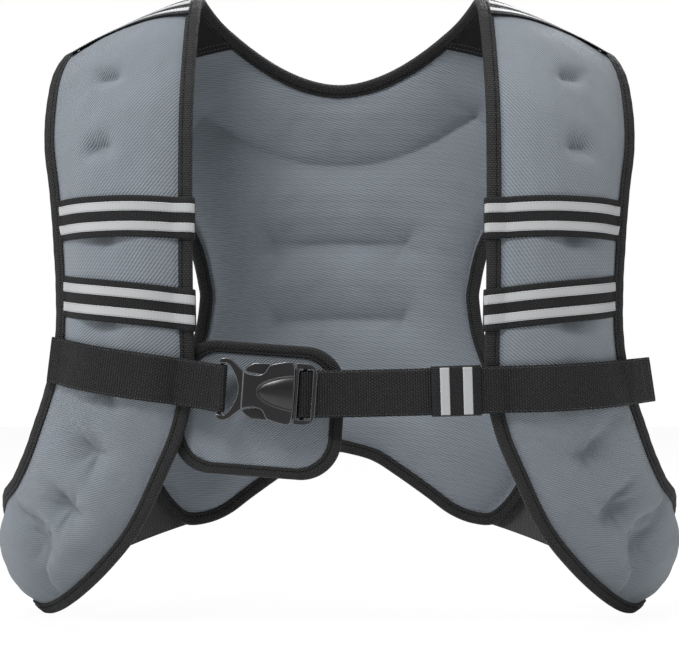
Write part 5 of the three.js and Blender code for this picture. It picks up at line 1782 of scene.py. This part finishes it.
def placed(obj, name):
    """Moves a moulding from its own frame to its place, with flat faces and smooth rounded edges."""
    mesh = obj.data
    co = np.zeros(len(mesh.vertices) * 3, np.float32)
    mesh.vertices.foreach_get("co", co)
    co = co.reshape(-1, 3) / MM
    there = on_buckle(co[:, 0], co[:, 1], co[:, 2]) * MM
    mesh.vertices.foreach_set("co", there.astype(np.float32).ravel())
    work = bmesh.new()
    work.from_mesh(mesh)
    for face in work.faces:
        face.smooth = face.material_index == 1 or len(face.verts) <= 4
    for edge in work.edges:
        if len(edge.link_faces) == 2 and edge.calc_face_angle(0) > math.radians(32):
            edge.smooth = False
    work.to_mesh(mesh)
    work.free()
    obj.name = name
    mesh.name = name
    return obj


def bar_plate(at, forward):
    return plate(box_half(at - BAR_HALF, at + BAR_HALF, SLOT + 0.02), BAR, forward)


def make_socket():
    body = plate(curved(SOCKET_HALF), BUCKLE_THICK)
    tools = [
        plate(curved(CRESCENT_HALF), 2 * BUCKLE_THICK),
        plate(box_half(-0.6, -0.42, SLOT), 2 * BUCKLE_THICK),
        plate(box_half(-0.13, 0.5, PRONG_TOP + 0.014), PRONG_THICK + 2 * GAP),
    ]
    for side in (-1, 1):
        beside = side * (BUCKLE_THICK + HORN_THICK) / 2
        tools.append(plate(box_half(-0.6, HORN_END, 0.6), BUCKLE_THICK, beside))
    more_x, more_y = THUMB_GROOVE / BUCKLE_LENGTH, THUMB_GROOVE / BUCKLE_WIDTH
    grown = [(x - more_x, y + more_y) for x, y in curved(THUMB_HALF)]
    grown[-1] = (0.4, grown[-1][1])
    tools.append(plate(grown, 2, BUCKLE_THICK / 2))
    carve(body, tools)
    carve(body, [bar_plate(FAR_BAR, 0)], "UNION")
    rounded(body, SOCKET_ROUND)
    return finished(placed(body, "buckle_socket_moulding"), PLASTIC, "buckle_plastic", "buckle_socket")


def make_plug():
    body = plate(FRAME_HALF, HORN_THICK - 1)
    carve(
        body,
        [
            plate(box_half(MOUTH + 0.035, 0.462, SLOT), 2 * BUCKLE_THICK),
            plate(box_half(0.44, 0.6, SLOT - 0.01), BUCKLE_THICK, 2.5 - BUCKLE_THICK / 2),
        ],
    )
    carve(body, [bar_plate(NEAR_BAR, -BAR_BACK), plate(ARMS_HALF, PRONG_THICK)], "UNION")
    rounded(body, PLUG_ROUND)
    return finished(placed(body, "buckle_plug_moulding"), PLASTIC, "buckle_plastic", "buckle_plug")


def make_thumb():
    """The raised panel on the socket's face, where the thumb presses."""
    half = np.array(curved(THUMB_HALF, 8)) * (BUCKLE_LENGTH, BUCKLE_WIDTH)
    s = np.linspace(-1, 1, 41)[None]
    x = half[:, :1] + 0 * s
    y = half[:, 1:] * s
    crown = THUMB_RISE * (1 - np.abs(s) ** 2.6) * (0.45 + 0.55 * smooth(0, 14, x - half[0, 0]))
    flat = np.stack([x, y], axis=-1)
    face = BUCKLE_THICK / 2 - 0.6
    front, rear = on_buckle(x, y, face + crown), on_buckle(x, y, face - 1.2 + 0 * crown)
    return finished(slab("buckle_face_panel", front, rear, flat), PLASTIC, "buckle_plastic")


make_socket()
make_plug()
make_thumb()
print("buckle made")

# %% [markdown]
# The guard is a thin pad with a taped edge, held at the left panel's edge. It stands behind the buckle
# so that it doesn't press on the chest.

# %% Buckle guard


def guard_depth(x):
    edge = front_edge(np.array(0.49), "in")
    behind = 2 * (EDGE / 2 + GAP + TAPE) + GAP
    forward = GUARD_FORWARD * smooth(-edge[0], -edge[0] + GUARD_WIDTH / 2, x)
    return edge[1] + behind - forward + GUARD_BEND * np.maximum(0, -edge[0] - x)


def guard_loop(scale, count=26):
    """Points round the guard's edge, scaled about its middle."""
    local = rounded_loop(GUARD_WIDTH / 2, GUARD_HEIGHT / 2, GUARD_CORNER, count)[0] * scale
    centre = on_buckle(GUARD_LEFT, -GUARD_BELOW, 0)
    placed = on_buckle(local[:, 0], local[:, 1], 0) - np.array(BUCKLE_PLACE) + centre
    placed[:, 1] = guard_depth(placed[:, 0])
    return placed, local


def guard_pad():
    scales = np.concatenate([np.linspace(1, 0.8, 12), np.linspace(0.78, 0.03, 36)])
    front, rear, flat = [], [], []
    for scale in scales:
        loop, local = guard_loop(scale)
        fill = (1 - smooth(0.15, 0.82, scale)) * GUARD_PUFF
        lump = 0.25 * wander(local[:, 0], local[:, 1], 40) * (1 - smooth(0.6, 0.85, scale))
        outward = np.stack([0 * lump, -(EDGE / 2 + fill + lump), 0 * lump], axis=-1)
        front.append(loop + outward)
        rear.append(loop - outward)
        flat.append(local)
    front, rear, flat = np.array(front), np.array(rear), np.array(flat)
    rings, count = front.shape[:2]
    i, j = np.meshgrid(np.arange(rings - 1), np.arange(count), indexing="ij")
    following = (j + 1) % count
    outer, inner = i * count, (i + 1) * count
    quads = np.stack([outer + j, outer + following, inner + following, inner + j], axis=-1)
    quads = quads.reshape(-1, 4)
    total = rings * count
    k = np.arange(count)
    rim = np.stack([k, (k + 1) % count, (k + 1) % count + total, k + total], axis=-1)
    middle = np.arange((rings - 1) * count, total)
    faces = np.concatenate([quads, quads[:, ::-1] + total, rim]).tolist()
    faces += [middle.tolist(), (middle + total).tolist()]
    points = np.concatenate([front.reshape(-1, 3), rear.reshape(-1, 3)])
    return make_mixed("buckle_guard_pad", points, faces, np.concatenate([flat.reshape(-1, 2)] * 2))


guard = finished(guard_pad(), NEOPRENE, "neoprene", "buckle_guard")
rim_points, _ = guard_loop(1.0)
rim_inner, _ = guard_loop(0.9)
rim_inward = unit(rim_inner - rim_points)
rim_normal = np.repeat(np.array([[0.0, -1.0, 0.0]]), len(rim_points), axis=0)
guard_tape = sweep("guard_binding_tape", tape_section(), rim_points, rim_inward, rim_normal, closed=True)
finished(guard_tape, TAPE_CLOTH, "binding_tape", "guard_binding")
guard_seams = tape_seams((rim_points, rim_inward, rim_normal))
stitches("guard_stitches", [np.concatenate([row, row[:1]]) for row in guard_seams], *TAPE_STITCH)
print("guard made")

# %% [markdown]
# The picture: a level camera at chest height, 1.6 m in front, soft light from large panels above and
# beside, and a pale floor that fades into the white background.

# %% Camera, floor and light

CAMERA_BACK = 1.6
CAMERA_LEVEL = -0.2695
PICTURE_WIDE = 679
FOCAL_PIXELS = 1837
SENSOR = 36
FLOOR_LEVEL = float(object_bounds()[0][2]) - 0.0005
FLOOR_WHITE = 0.9  # share of plain white in what the camera sees of the floor
FLOOR_GLOW = 1.05

camera_data = bpy.data.cameras.new("camera")
camera_data.sensor_width = SENSOR
camera_data.lens = FOCAL_PIXELS / PICTURE_WIDE * SENSOR
camera = bpy.data.objects.new("camera", camera_data)
camera.location = (0, -CAMERA_BACK, CAMERA_LEVEL)
camera.rotation_euler = (math.pi / 2, 0, 0)
bpy.context.scene.collection.objects.link(camera)
bpy.context.scene.camera = camera


def make_floor():
    """A plain pale floor. The camera sees it almost white, with a faint reflection of what stands on it."""
    depth, level = np.linspace(-3, 3, 5) / MM, FLOOR_LEVEL / MM
    rows = np.stack([points_of(x / MM, depth, level) for x in np.linspace(-3, 3, 5)], axis=1)
    points = rows.reshape(-1, 3)
    obj = make_object("floor", points, grid_quads(5, 5), points[:, :2])
    material = bpy.data.materials.new("pale floor")
    material.use_nodes = True
    tree = material.node_tree
    surface = next(n for n in tree.nodes if n.type == "BSDF_PRINCIPLED")
    out = next(n for n in tree.nodes if n.type == "OUTPUT_MATERIAL")
    place = add_node(tree, "ShaderNodeTexCoord").outputs["Object"]
    noise = add_node(tree, "ShaderNodeTexNoise", {"Vector": place, "Scale": 3.0})
    rough = maths(tree, "MULTIPLY_ADD", noise.outputs["Fac"], 0.05, 0.16)
    tree.links.new(rough, surface.inputs["Roughness"])
    surface.inputs["Base Color"].default_value = (0.9, 0.9, 0.9, 1)
    seen = add_node(tree, "ShaderNodeLightPath").outputs["Is Camera Ray"]
    white = add_node(tree, "ShaderNodeEmission", {"Strength": FLOOR_GLOW})
    blend = add_node(tree, "ShaderNodeMixShader", {0: maths(tree, "MULTIPLY", seen, FLOOR_WHITE)})
    tree.links.new(surface.outputs["BSDF"], blend.inputs[1])
    tree.links.new(white.outputs["Emission"], blend.inputs[2])
    tree.links.new(blend.outputs["Shader"], out.inputs["Surface"])
    obj.data.materials.append(material)
    return obj


make_floor()


def area_light(name, place, aim, size, power):
    data = bpy.data.lights.new(name, "AREA")
    data.shape = "RECTANGLE"
    data.size, data.size_y = size
    data.energy = power
    light = bpy.data.objects.new(name, data)
    light.location = place
    direction = np.array(aim) - np.array(place)
    light.rotation_euler = mathutils.Vector(direction).to_track_quat("-Z", "Y").to_euler()
    bpy.context.scene.collection.objects.link(light)


CENTRE = (0, 0, -0.25)
WORLD_GLOW = 0.16
area_light("key", (-0.7, -1.3, 1.5), CENTRE, (0.9, 0.6), 32)
area_light("left side", (-1.7, -0.5, 0.2), CENTRE, (0.5, 1.4), 10)
area_light("right side", (1.7, -0.5, 0.2), CENTRE, (0.5, 1.4), 7)
area_light("top", (0, 0.1, 1.6), CENTRE, (1.6, 0.8), 20)
area_light("back", (0.3, 1.6, 1.2), CENTRE, (1.6, 0.8), 22)
world = bpy.data.worlds.new("studio")
world.use_nodes = True
tree = world.node_tree
background = next(n for n in tree.nodes if n.type == "BACKGROUND")
background.inputs["Color"].default_value = (1, 1, 1, 1)
seen = add_node(tree, "ShaderNodeLightPath").outputs["Is Camera Ray"]
tree.links.new(maths(tree, "MULTIPLY_ADD", seen, 1 - WORLD_GLOW, WORLD_GLOW), background.inputs["Strength"])
bpy.context.scene.world = world
bpy.context.scene.view_settings.view_transform = "Standard"
print("camera lens:", round(camera_data.lens, 1), "mm, floor level:", round(FLOOR_LEVEL, 4))
